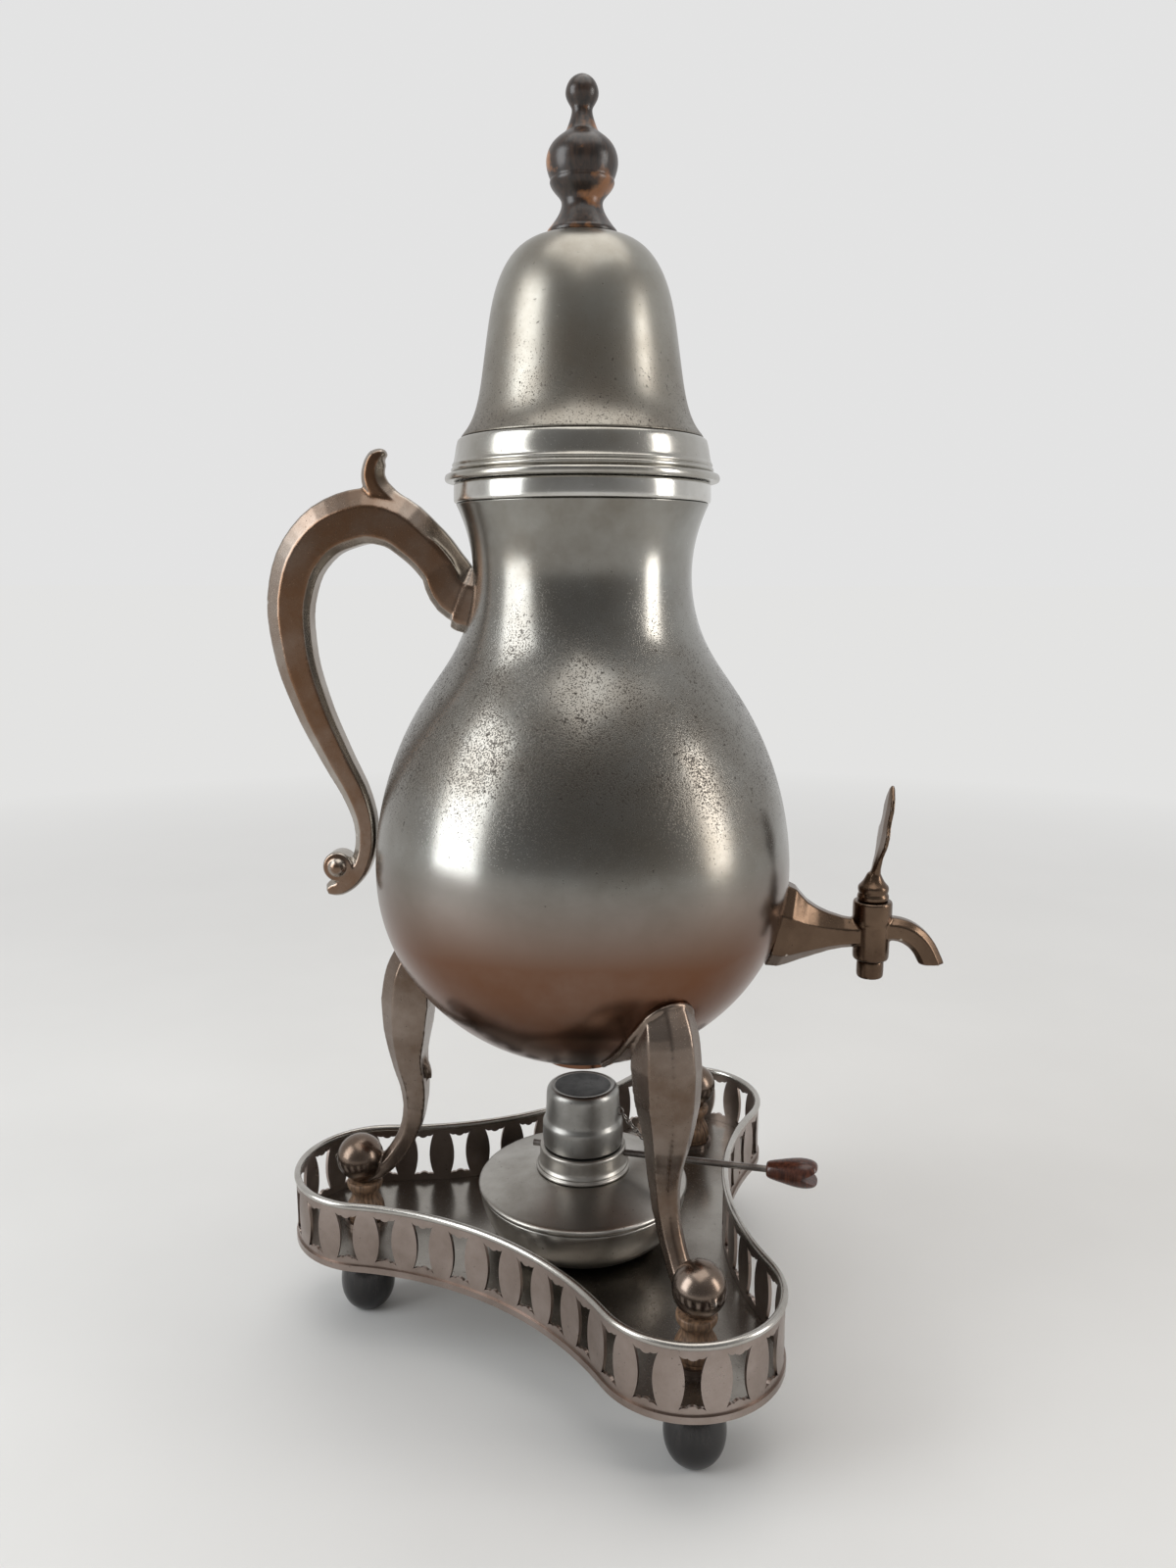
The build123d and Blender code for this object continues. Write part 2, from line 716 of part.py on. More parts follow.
with BuildPart() as tap_body:
    with BuildSketch(flange_plane):
        add(chamfered_box_face(flange_width - 2, flange_height - 2, 4))
    with BuildSketch(Plane.YZ.offset(flange_face + 0.35 * (tap_reach - flange_face))):
        with Locations((0, shank_level + 0.6)):
            add(chamfered_box_face(shank_width * 1.25, shank_height * 1.3, 2.6))
    with BuildSketch(Plane.YZ.offset(tap_reach - barrel_radius / 2)):
        with Locations((0, shank_level)):
            add(chamfered_box_face(shank_width, shank_height, 2.4))
    loft()
    with Locations((tap_reach, 0, barrel_bottom)):
        Cylinder(
            barrel_radius,
            barrel_top - barrel_bottom,
            align=(Align.CENTER, Align.CENTER, Align.MIN),
        )
    with Locations((tap_reach, 0, barrel_top)):
        Cylinder(
            barrel_radius + barrel_band_proud,
            barrel_band,
            align=(Align.CENTER, Align.CENTER, Align.MAX),
        )
    with BuildPart(mode=Mode.PRIVATE) as spout:
        with BuildSketch(Plane.XZ.offset(-spout_width / 2)):
            with BuildLine():
                spout_root = tap_reach + barrel_radius / 2
                spout_tip = tap_reach + spout_length
                spout_run = spout_tip - spout_root
                mouth = shank_level - spout_drop
                root_top, root_under = shank_level + 0.52 * shank_height, shank_level - 0.22 * shank_height
                Line((spout_root, root_under), (spout_root, root_top))
                Spline(
                    (spout_root, root_top),
                    (spout_root + 0.38 * spout_run, root_top + 0.2),
                    (spout_root + 0.73 * spout_run, root_top - 0.25 * (root_top - mouth)),
                    (spout_tip, mouth),
                )
                Line((spout_tip, mouth), (spout_tip - spout_mouth, mouth))
                Spline(
                    (spout_tip - spout_mouth, mouth),
                    (spout_root + 0.5 * spout_run, root_under - 0.27 * (root_under - mouth)),
                    (spout_root, root_under),
                    tangents=[(-0.4, 1), (-1, 0)],
                )
            make_face()
        extrude(amount=spout_width)
        spout_edges = spout.edges().sort_by(SortBy.LENGTH)
        chamfer(spout_edges[-2:], spout_bevel)
    add(spout.part)
    with Locations((tap_reach, 0, barrel_top)):
        Cone(
            plug_radius_bottom + turn_fit,
            plug_radius_top + turn_fit,
            barrel_top - barrel_bottom,
            align=(Align.CENTER, Align.CENTER, Align.MAX),
            mode=Mode.SUBTRACT,
        )
    with BuildSketch(Plane.YZ):
        with Locations((0, shank_level)):
            Circle(water_bore)
    turn_reach = spout_root + 0.51 * spout_run
    extrude(amount=turn_reach, mode=Mode.SUBTRACT)
    outlet = Vector(spout_tip - 0.44 * spout_mouth, 0, mouth)
    outlet_run = Vector(turn_reach, 0, shank_level + 0.3) - outlet
    with BuildSketch(Plane(origin=outlet - 0.1 * outlet_run, z_dir=outlet_run)):
        Circle(water_bore)
    extrude(amount=1.17 * outlet_run.length, mode=Mode.SUBTRACT)
save(tap_body.part, "tap_body")

key_root = barrel_top + plug_ring_height + plug_dome_height
with BuildPart() as tap_plug:
    with BuildSketch(Plane.XZ):
        with BuildLine():
            Polyline(
                (0, barrel_bottom - tail_gap),
                (plug_radius_bottom, barrel_bottom - tail_gap),
                (plug_radius_top, barrel_top + tail_gap),
                (plug_ring_radius, barrel_top + tail_gap),
                (plug_ring_radius, barrel_top + 0.45 * plug_ring_height),
                (plug_ring_radius - 0.5, barrel_top + 0.55 * plug_ring_height),
                (plug_ring_radius - 0.1, barrel_top + 0.68 * plug_ring_height),
                (plug_ring_radius - 0.1, barrel_top + plug_ring_height),
            )
            ThreePointArc(
                (plug_ring_radius - 0.1, barrel_top + plug_ring_height),
                (plug_ring_radius - 2.4, barrel_top + plug_ring_height + 0.5 * plug_dome_height),
                (key_thick / 2 + 0.5, key_root),
            )
            Line((key_thick / 2 + 0.5, key_root), (0, key_root))
            Line((0, key_root), (0, barrel_bottom - tail_gap))
        make_face()
    revolve(axis=Axis.Z)
    with BuildSketch(Plane.XZ):
        with Locations((0, shank_level)):
            Circle(water_bore)
    extrude(amount=2 * barrel_radius, both=True, mode=Mode.SUBTRACT)
save(tap_plug.part.moved(Location((tap_reach, 0, 0))), "tap_plug")

with BuildPart() as tap_tail:
    with Locations((tap_reach, 0, barrel_bottom - tail_gap)):
        Cylinder(tail_radius, tail_height, align=(Align.CENTER, Align.CENTER, Align.MAX))
    fillet(tap_tail.edges().group_by(Axis.Z)[0], 0.8)
save(tap_tail.part, "tap_tail")

key_plane = Plane(
    origin=(tap_reach, 0, key_root),
    x_dir=(0, 1, 0),
    z_dir=(cos(radians(key_lean)), 0, -sin(radians(key_lean))),
)
key_length = key_height / cos(radians(key_lean))
with BuildPart() as tap_key:
    with BuildSketch(key_plane.offset(-key_thick / 2)):
        with BuildLine():
            half = key_width / 2
            foot_half = key_thick / 2 + 0.3
            Line((-foot_half, -0.6), (foot_half, -0.6))
            Spline(
                (foot_half, -0.6),
                (foot_half + 0.2, 0.2 * key_length),
                (half, 0.44 * key_length),
                (0.72 * half, 0.64 * key_length),
            )
            Spline(
                (0.72 * half, 0.64 * key_length),
                (0.8 * half, 0.8 * key_length),
                (0, key_length),
                (-0.8 * half, 0.8 * key_length),
                (-0.72 * half, 0.64 * key_length),
            )
            Spline(
                (-0.72 * half, 0.64 * key_length),
                (-half, 0.44 * key_length),
                (-foot_half - 0.2, 0.2 * key_length),
                (-foot_half, -0.6),
            )
        make_face()
    extrude(amount=key_thick)
    with Locations((tap_reach, 0, key_root)):
        Box(30, 30, 10, align=(Align.CENTER, Align.CENTER, Align.MAX), mode=Mode.SUBTRACT)
save(tap_key.part, "tap_key")

# Lid
rim_bore = lip_radius - rim_wall
step_radius = lip_radius - step_width
with BuildPart() as lid_rim:
    with BuildSketch(Plane.XZ):
        with BuildLine():
            low, mid = collar_top, lip_radius - lip_step
            Line((rim_bore, low), (lip_radius - 0.6, low))
            lip = (lip_radius - 0.6, low + lip_height)
            ThreePointArc((lip_radius - 0.6, low), (lip_radius, low + lip_height / 2), lip)
            Line(lip, (mid, low + lip_height + 0.2))
            first_bead = (mid, low + lip_height + 2.2)
            ThreePointArc((mid, low + lip_height + 0.2), (mid + 0.9, low + lip_height + 1.2), first_bead)
            second_bead = (mid - 0.1, low + lip_height + 3.8)
            ThreePointArc(first_bead, (mid + 0.6, low + lip_height + 3.0), second_bead)
            band = (mid - 0.6, low + 0.68 * rim_height)
            ThreePointArc(second_bead, band, (step_radius + 0.6, rim_top - 0.8))
            Line((step_radius + 0.6, rim_top - 0.8), (step_radius, rim_top))
            Line((step_radius, rim_top), (step_radius - 2.4, rim_top))
            Line((step_radius - 2.4, rim_top), (rim_bore, rim_top - 4))
            Line((rim_bore, rim_top - 4), (rim_bore, low))
        make_face()
    revolve(axis=Axis.Z)
save(lid_rim.part, "lid_rim")


def dome_solid(shrink):
    """Solid under the lid's dome, with the wall drawn in by shrink."""
    flank = lip_radius - dome_inset
    dome_points = [
        (crown_flat, crown_level),
        (crown_flat + 0.66 * (flank - crown_flat), rim_top + 0.855 * crown_rise),
        (flank, rim_top + dome_rise),
        (flank + 0.28 * (step_radius - flank), rim_top + 0.44 * dome_rise),
        (step_radius - 0.3, rim_top),
    ]
    with BuildPart() as solid:
        with BuildSketch(Plane.XZ):
            with BuildLine():
                crown, foot_point = smooth_arcs(dome_points, 0, shrink)
                Line(crown, (0, crown[1]))
                Line((0, crown[1]), (0, foot_point[1]))
                Line((0, foot_point[1]), foot_point)
            make_face()
        revolve(axis=Axis.Z)
    return solid.part


with BuildPart() as lid_dome:
    add(dome_solid(0))
    add(dome_solid(lid_wall), mode=Mode.SUBTRACT)
    with Locations((0, 0, crown_level)):
        Hole(screw_radius + pin_fit, depth=2 * lid_wall)
save(lid_dome.part, "lid_dome")

with BuildPart() as lid_bezel:
    with BuildSketch(Plane.XY.offset(collar_top - bezel_depth)):
        Circle(collar_bore - slip_fit)
        Circle(collar_bore - slip_fit - bezel_wall, mode=Mode.SUBTRACT)
    extrude(amount=bezel_depth)
save(lid_bezel.part, "lid_bezel")

# Finial
top = crown_level + finial_height
ball_mid = crown_level + 23.0
with BuildPart() as finial:
    with BuildSketch(Plane.XZ):
        with BuildLine():
            base = (finial_base_radius, crown_level)
            Line((0, crown_level), base)
            Line(base, (finial_base_radius, crown_level + 1.4))
            waist = (0.55 * finial_base_radius, crown_level + 10.6)
            groove = (0.91 * finial_ball_radius, crown_level + 17.4)
            TangentArc(waist, (finial_base_radius, crown_level + 1.4), tangent=(0, -1))
            TangentArc(waist, groove, tangent=(0, 1))
            low_edge = (0.88 * finial_ball_radius, ball_mid - 5)
            high_edge = (0.88 * finial_ball_radius, ball_mid + 5.3)
            Line(groove, low_edge)
            ThreePointArc(low_edge, (finial_ball_radius, ball_mid), high_edge)
            shoulder = (0.52 * finial_ball_radius, ball_mid + 8.6)
            ThreePointArc(high_edge, (0.74 * finial_ball_radius, ball_mid + 7.3), shoulder)
            neck = (0.26 * finial_ball_radius, ball_mid + 16)
            TangentArc(neck, shoulder, tangent=(0, -1))
            tip_mid = top - finial_tip_radius
            tip_foot = (neck[0], tip_mid - sqrt(finial_tip_radius**2 - neck[0] ** 2))
            Line(neck, tip_foot)
            ThreePointArc(tip_foot, (finial_tip_radius, tip_mid), (0, top))
            Line((0, top), (0, crown_level))
        make_face()
    revolve(axis=Axis.Z)
    with BuildSketch(Plane.XY.offset(crown_level)):
        Circle(screw_radius + pin_fit)
    extrude(amount=screw_length - lid_wall - washer_thick + 0.5, mode=Mode.SUBTRACT)
save(finial.part, "finial")

washer_top = crown_level - lid_wall
with BuildPart() as finial_washer:
    with BuildSketch(Plane.XY.offset(washer_top - washer_thick)):
        Circle(washer_radius)
        Circle(screw_radius + pin_fit, mode=Mode.SUBTRACT)
    extrude(amount=washer_thick)
save(finial_washer.part, "finial_washer")

with BuildPart() as finial_screw:
    with BuildSketch(Plane.XY.offset(washer_top - washer_thick)):
        Circle(screw_radius)
    extrude(amount=screw_length)
    with BuildSketch(Plane.XY.offset(washer_top - washer_thick - screw_head_height)):
        Circle(screw_head_radius)
        Rectangle(0.8, 2 * screw_head_radius, mode=Mode.SUBTRACT)
    extrude(amount=screw_head_height / 2)
    with BuildSketch(Plane.XY.offset(washer_top - washer_thick - screw_head_height / 2)):
        Circle(screw_head_radius)
    extrude(amount=screw_head_height / 2)
save(finial_screw.part, "finial_screw")

# Burner
with BuildPart() as burner_bowl:
    with BuildSketch(Plane.XZ):
        with BuildLine():
            bilge = (burner_radius - 3.4, floor_top + 0.36 * burner_bowl_height)
            bowl_points = [(burner_radius, burner_rim), bilge, (burner_foot_radius, floor_top)]
            outer_rim, outer_foot = smooth_arcs(bowl_points, -90)
            inner_rim, inner_foot = smooth_arcs(bowl_points, -90, burner_wall)
            Line(outer_rim, inner_rim)
            Line(outer_foot, (0, outer_foot[1]))
            Line((0, outer_foot[1]), (0, inner_foot[1]))
            Line((0, inner_foot[1]), inner_foot)
        make_face()
    revolve(axis=Axis.Z)
save(burner_bowl.part, "burner_bowl")

with BuildPart() as burner_top:
    with BuildSketch(Plane.XZ):
        with BuildLine():
            bead = burner_radius - burner_wall / 2
            bead_top = (bead, burner_rim + 2 * burner_bead)
            flange = (neck_hole_radius, neck_flange_level)
            ThreePointArc((bead, burner_rim), (bead + burner_bead, burner_rim + burner_bead), bead_top)
            outer_slope = (bead - 7, burner_rim + 3.5 * burner_bead)
            inner_slope = (bead - 7, burner_rim + 2.5 * burner_bead)
            ThreePointArc(bead_top, outer_slope, (collar_flange_radius, neck_flange_level))
            Line((collar_flange_radius, neck_flange_level), flange)
            Line(flange, (neck_hole_radius, neck_flange_level - burner_wall))
            Line((neck_hole_radius, neck_flange_level - burner_wall), inner_slope)
            Line(inner_slope, (bead - 1, burner_rim + 0.9 * burner_bead))
            Line((bead - 1, burner_rim + 0.9 * burner_bead), (bead - 0.5, burner_rim))
            Line((bead - 0.5, burner_rim), (bead, burner_rim))
        make_face()
    revolve(axis=Axis.Z)
save(burner_top.part, "burner_top")

lid_under = collar_lid - burner_wall
with BuildPart() as burner_collar:
    with BuildSketch(Plane.XZ):
        with BuildLine():
            inner = burner_collar_radius - 1.2
            spigot = neck_hole_radius - pin_fit
            Polyline(
                (tube_radius + pin_fit, collar_lid),
                (burner_collar_radius, collar_lid),
                (burner_collar_radius + 0.7, neck_flange_level + 1.6),
                (collar_flange_radius, neck_flange_level + 1.2),
                (collar_flange_radius, neck_flange_level),
                (spigot, neck_flange_level),
                (spigot, neck_flange_level - 5),
                (spigot - 1.2, neck_flange_level - 5),
                (spigot - 1.2, neck_flange_level + 1.2),
                (inner, neck_flange_level + 2.6),
                (inner, lid_under),
                (tube_radius + pin_fit, lid_under),
                close=True,
            )
        make_face()
    revolve(axis=Axis.Z)
    rod_plane = Plane(
        origin=(0, 0, rod_level),
        x_dir=(-sin(radians(rod_heading)), cos(radians(rod_heading)), 0),
        z_dir=(cos(radians(rod_heading)), sin(radians(rod_heading)), 0),
    )
    with BuildSketch(rod_plane):
        Circle(rod_radius + pin_fit)
    extrude(amount=2 * burner_collar_radius, both=True, mode=Mode.SUBTRACT)
save(burner_collar.part, "burner_collar")

with BuildPart() as wick_tube:
    with BuildSketch(Plane.XY.offset(lid_under)):
        Circle(tube_radius)
    extrude(amount=burner_wall + tube_rise)
    with BuildSketch(Plane.XY.offset(collar_lid)):
        Circle(tube_radius + tube_flange)
    extrude(amount=burner_wall)
    with BuildSketch(Plane.XY.offset(lid_under)):
        Circle(tube_radius - tube_wall)
    extrude(amount=burner_wall + tube_rise, mode=Mode.SUBTRACT)
save(wick_tube.part, "wick_tube")

with BuildPart() as wick:
    with BuildSketch(Plane.XY.offset(collar_lid - wick_depth)):
        Circle(tube_radius - tube_wall - pin_fit)
    extrude(amount=wick_depth + tube_rise + wick_rise)
    with BuildSketch(rod_plane):
        Circle(rod_radius + slip_fit)
    extrude(amount=2 * tube_radius, both=True, mode=Mode.SUBTRACT)
    fillet(wick.edges().filter_by(GeomType.CIRCLE).sort_by(Axis.Z)[-1], 1.5)
save(wick.part, "wick")

with BuildPart() as burner_rod:
    with BuildSketch(rod_plane.offset(-rod_tail)):
        Circle(rod_radius)
    extrude(amount=rod_tail + rod_reach)
save(burner_rod.part, "burner_rod")

with BuildPart() as rod_knob:
    with BuildSketch(Plane.XZ):
        with BuildLine():
            end = knob_start + knob_length
            Line((knob_start, 0), (knob_start, rod_radius + 0.8))
            knob_waist = (knob_start + 0.3 * knob_length, 0.62 * knob_radius)
            knob_bulge = (knob_start + 0.7 * knob_length, knob_radius)
            Line((knob_start, rod_radius + 0.8), knob_waist)
            TangentArc(knob_bulge, knob_waist, tangent=(-1, 0))
            TangentArc(knob_bulge, (end - 0.5, 0.62 * knob_radius), tangent=(1, 0))
            Line((end - 0.5, 0.62 * knob_radius), (end, 0))
            Line((end, 0), (knob_start, 0))
        make_face()
    revolve(axis=Axis.X)
    with BuildSketch(Plane.XY):
        with BuildLine():
            Polyline((end - knob_notch, 0), (end + 1, knob_notch), (end + 1, -knob_notch), close=True)
        make_face()
    extrude(amount=knob_radius, both=True, mode=Mode.SUBTRACT)
    with BuildSketch(Plane.YZ):
        Circle(rod_radius + pin_fit)
    extrude(amount=rod_reach + 0.3, mode=Mode.SUBTRACT)
save(rod_knob.part.moved(Location((0, 0, rod_level), (0, 0, rod_heading))), "rod_knob")

# Snuffer cap
step_level = collar_lid + cap_skirt_height
with BuildPart() as burner_cap:
    with BuildSketch(Plane.XZ):
        with BuildLine():
            for inset in (0, cap_wall):
                skirt_foot = (cap_skirt_radius - inset, collar_lid)
                skirt_top = (cap_skirt_radius - 0.3 - inset, step_level - 1.5)
                wall_foot = (cap_radius + 0.2 - inset, step_level + 1.2)
                wall_top = (cap_radius - inset, cap_top - 2.4)
                crown = (cap_disc_radius, cap_top - inset)
                Line(skirt_foot, skirt_top)
                step_turn = ((skirt_top[0] + wall_foot[0]) / 2, (skirt_top[1] + wall_foot[1]) / 2)
                TangentArc(skirt_top, step_turn, tangent=(0, 1))
                TangentArc(wall_foot, step_turn, tangent=(0, -1))
                Line(wall_foot, wall_top)
                TangentArc(wall_top, crown, tangent=(0, 1))
            Line((cap_skirt_radius, collar_lid), (cap_skirt_radius - cap_wall, collar_lid))
            sink = cap_top - cap_disc_sink
            under = sink - cap_wall
            Line((cap_disc_radius, cap_top), (cap_disc_radius, sink))
            Line((cap_disc_radius, sink), (0, sink))
            Line((0, sink), (0, under))
            Line((0, under), (cap_disc_radius, under))
            Line((cap_disc_radius, under), (cap_disc_radius, cap_top - cap_wall))
        make_face()
    revolve(axis=Axis.Z)
save(burner_cap.part, "burner_cap")

eye_level = step_level + 3.5
heading = Rot(0, 0, rod_heading)
with BuildPart() as cap_eye:
    with Locations((cap_radius + 0.3, 0, eye_level)):
        Torus(eye_radius, link_wire, rotation=(90, 0, 0))
    with Locations((0, 0, eye_level)):
        Cylinder(cap_radius + 0.25, 6, mode=Mode.SUBTRACT)
save(heading * cap_eye.part, "cap_eye")

with BuildPart() as rod_ring:
    with Locations((ring_reach, 0, rod_level)):
        Torus(rod_radius + link_wire + pin_fit, link_wire, rotation=(0, 90, 0))
save(heading * rod_ring.part, "rod_ring")

# The chain's links hang from the cap's eye to the ring on the rod, every other one turned a quarter
hang = Vector(cap_radius + 0.3 + eye_radius + 0.3, 0, eye_level - 0.9)
hook = Vector(ring_reach, 0, rod_level + rod_radius + 3 * link_wire + link_radius + 2 * pin_fit)
run = hook - hang
with BuildPart() as cap_chain:
    for index in range(link_count):
        place = hang + run * (index / (link_count - 1))
        facing = Vector(0, 1, 0) if index % 2 else run.cross(Vector(0, 1, 0))
        link_plane = Plane(origin=place, x_dir=run, z_dir=facing)
        with BuildSketch(Plane(origin=place, x_dir=link_plane.x_dir, z_dir=link_plane.y_dir)):
            with Locations((link_radius, 0)):
                RegularPolygon(link_wire, 6)
        revolve(axis=Axis(place, link_plane.z_dir))
save(heading * cap_chain.part, "cap_chain")
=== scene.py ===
from math import cos, hypot, pi, radians, sin

import bpy
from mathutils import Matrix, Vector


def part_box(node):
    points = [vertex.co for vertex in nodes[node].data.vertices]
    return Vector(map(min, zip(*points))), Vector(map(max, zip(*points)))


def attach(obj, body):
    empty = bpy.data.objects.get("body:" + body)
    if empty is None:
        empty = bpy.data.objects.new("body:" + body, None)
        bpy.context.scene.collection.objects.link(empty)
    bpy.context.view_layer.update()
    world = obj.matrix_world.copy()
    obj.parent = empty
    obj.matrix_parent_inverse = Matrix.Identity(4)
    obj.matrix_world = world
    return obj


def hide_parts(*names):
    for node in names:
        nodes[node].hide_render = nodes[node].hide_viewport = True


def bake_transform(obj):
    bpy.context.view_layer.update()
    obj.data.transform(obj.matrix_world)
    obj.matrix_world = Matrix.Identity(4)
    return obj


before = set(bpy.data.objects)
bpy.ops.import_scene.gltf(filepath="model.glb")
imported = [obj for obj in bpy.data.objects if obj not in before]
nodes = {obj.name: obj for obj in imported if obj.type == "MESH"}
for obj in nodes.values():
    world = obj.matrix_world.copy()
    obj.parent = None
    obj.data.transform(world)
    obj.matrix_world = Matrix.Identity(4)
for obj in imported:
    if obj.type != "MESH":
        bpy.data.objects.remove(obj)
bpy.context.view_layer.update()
mm = 0.001

# Camera
# It stands close in front of the urn, a little to the tap's side, at the height of the urn's neck, and
# looks down on the tray. The lens is the one that fits the lid, the belly and the tray's outline together.
bearing = radians(4.5)
pitch = radians(10.36)
stand_off = 420 * mm
sidestep = 1.94 * mm
eye_level = 289 * mm
camera_data = bpy.data.cameras.new("camera")
camera_data.sensor_width = 36
camera_data.lens = 27.0
camera = bpy.data.objects.new("camera", camera_data)
bpy.context.scene.collection.objects.link(camera)
camera.location = (
    stand_off * sin(bearing) + sidestep * cos(bearing),
    -stand_off * cos(bearing) + sidestep * sin(bearing),
    eye_level,
)
camera.rotation_euler = (pi / 2 - pitch, 0, bearing)
bpy.context.scene.camera = camera
bpy.context.scene.view_settings.view_transform = "Standard"


# Table top
# A plain pale matt floor, wide enough to reach the horizon in every view. Far from the urn, where the
# lamps no longer reach it, it takes the backdrop's own pale tone.
def paint(name):
    """A new material with its tree and its shader."""
    material = bpy.data.materials.new(name)
    material.use_nodes = True
    tree = material.node_tree
    return material, tree, tree.nodes["Principled BSDF"]


def feed(tree, socket, value):
    """Gives an input a value, or links another node's socket to it."""
    if isinstance(value, bpy.types.NodeSocket):
        tree.links.new(value, socket)
    else:
        socket.default_value = value


def add(tree, kind, settings=None, **inputs):
    """Adds a node; each input is a value or another node's socket."""
    made = tree.nodes.new(kind)
    for key, value in (settings or {}).items():
        setattr(made, key, value)
    for key, value in inputs.items():
        feed(tree, made.inputs[key.replace("_", " ")], value)
    return made


def spread(tree, value, low, high, to_low=0.0, to_high=1.0):
    """Stretches a value from one range to another, without going past its ends."""
    found = add(
        tree, "ShaderNodeMapRange",
        Value=value, From_Min=low, From_Max=high, To_Min=to_low, To_Max=to_high,
    )
    return found.outputs["Result"]


def between(tree, share, first, second):
    """Mixes two colours, each a value or a socket."""
    mix = tree.nodes.new("ShaderNodeMix")
    mix.data_type = "RGBA"
    feed(tree, mix.inputs[0], share)
    feed(tree, mix.inputs[6], first)
    feed(tree, mix.inputs[7], second)
    return mix.outputs[2]


def times(tree, first, second, kind="MULTIPLY"):
    """Two values multiplied, or put together by another operation."""
    found = tree.nodes.new("ShaderNodeMath")
    found.operation = kind
    feed(tree, found.inputs[0], first)
    feed(tree, found.inputs[1], second)
    return found.outputs[0]


lit_reach, tone_reach = 0.3, 1.3
bpy.ops.mesh.primitive_plane_add(size=40, location=(0, 0, 0))
floor = bpy.context.object
floor.name = "floor"
floor_paint, floor_tree, floor_shader = paint("pale_floor")
floor_place = add(floor_tree, "ShaderNodeTexCoord").outputs["Object"]
floor_grain = add(floor_tree, "ShaderNodeTexNoise", Vector=floor_place, Scale=9.0, Detail=3.0).outputs["Fac"]
pale_stone = between(floor_tree, floor_grain, (0.6, 0.592, 0.578, 1), (0.66, 0.652, 0.638, 1))
floor_tree.links.new(pale_stone, floor_shader.inputs["Base Color"])
floor_shader.inputs["Roughness"].default_value = 0.8
away = add(floor_tree, "ShaderNodeVectorMath", {"operation": "LENGTH"})
floor_tree.links.new(floor_place, away.inputs[0])
seen = add(floor_tree, "ShaderNodeLightPath").outputs
seen_rays = times(floor_tree, seen["Is Camera Ray"], seen["Is Glossy Ray"], "ADD")
seen_rays = times(floor_tree, seen_rays, seen["Is Transmission Ray"], "ADD")
far_share = times(floor_tree, spread(floor_tree, away.outputs["Value"], lit_reach, tone_reach), seen_rays)
backdrop_tone = add(floor_tree, "ShaderNodeEmission", Color=(0.77, 0.768, 0.76, 1))
floor_mix = floor_tree.nodes.new("ShaderNodeMixShader")
floor_tree.links.new(far_share, floor_mix.inputs[0])
floor_tree.links.new(floor_shader.outputs[0], floor_mix.inputs[1])
floor_tree.links.new(backdrop_tone.outputs[0], floor_mix.inputs[2])
floor_tree.links.new(floor_mix.outputs[0], floor_tree.nodes["Material Output"].inputs["Surface"])
floor.data.materials.append(floor_paint)

# Room light
# A wide soft window on the handle's side, a weaker one on the tap's side and a soft ceiling. The room
# behind the camera is dim, so that turned metal shows a bright edge on each side of a darker middle.
daylight, warm_light = (0.93, 0.97, 1.0), (1.0, 0.98, 0.95)
urn_middle = Vector((0, 0, 0.22))
windows = [
    ("left_window", (-0.95, -0.45, 0.6), (0.6, 1.0), 9.5, daylight),
    ("right_window", (1.15, -0.2, 0.5), (0.3, 0.8), 5.0, warm_light),
    ("ceiling", (0.1, -0.1, 1.5), (1.4, 1.2), 9.0, warm_light),
]
for name, place, size, power, tint in windows:
    lamp = bpy.data.lights.new(name, "AREA")
    lamp.shape = "RECTANGLE"
    lamp.size, lamp.size_y = size
    lamp.energy = power
    lamp.color = tint
    lamp_object = bpy.data.objects.new(name, lamp)
    bpy.context.scene.collection.objects.link(lamp_object)
    lamp_object.location = place
    aim = urn_middle - Vector(place)
    lamp_object.rotation_euler = aim.to_track_quat("-Z", "Y").to_euler()

dim_wall, bright_wall = 0.24, 0.855
dim_from, bright_from = -0.9, 0.55
room = bpy.data.worlds.new("room")
bpy.context.scene.world = room
room.use_nodes = True
room_tree = room.node_tree
direction = add(room_tree, "ShaderNodeTexCoord").outputs["Generated"]
depth = add(room_tree, "ShaderNodeSeparateXYZ", Vector=direction).outputs["Y"]
background = room_tree.nodes["Background"]
grey = spread(room_tree, depth, dim_from, bright_from, dim_wall, bright_wall)
feed(room_tree, background.inputs["Color"], grey)
background.inputs["Strength"].default_value = 0.9


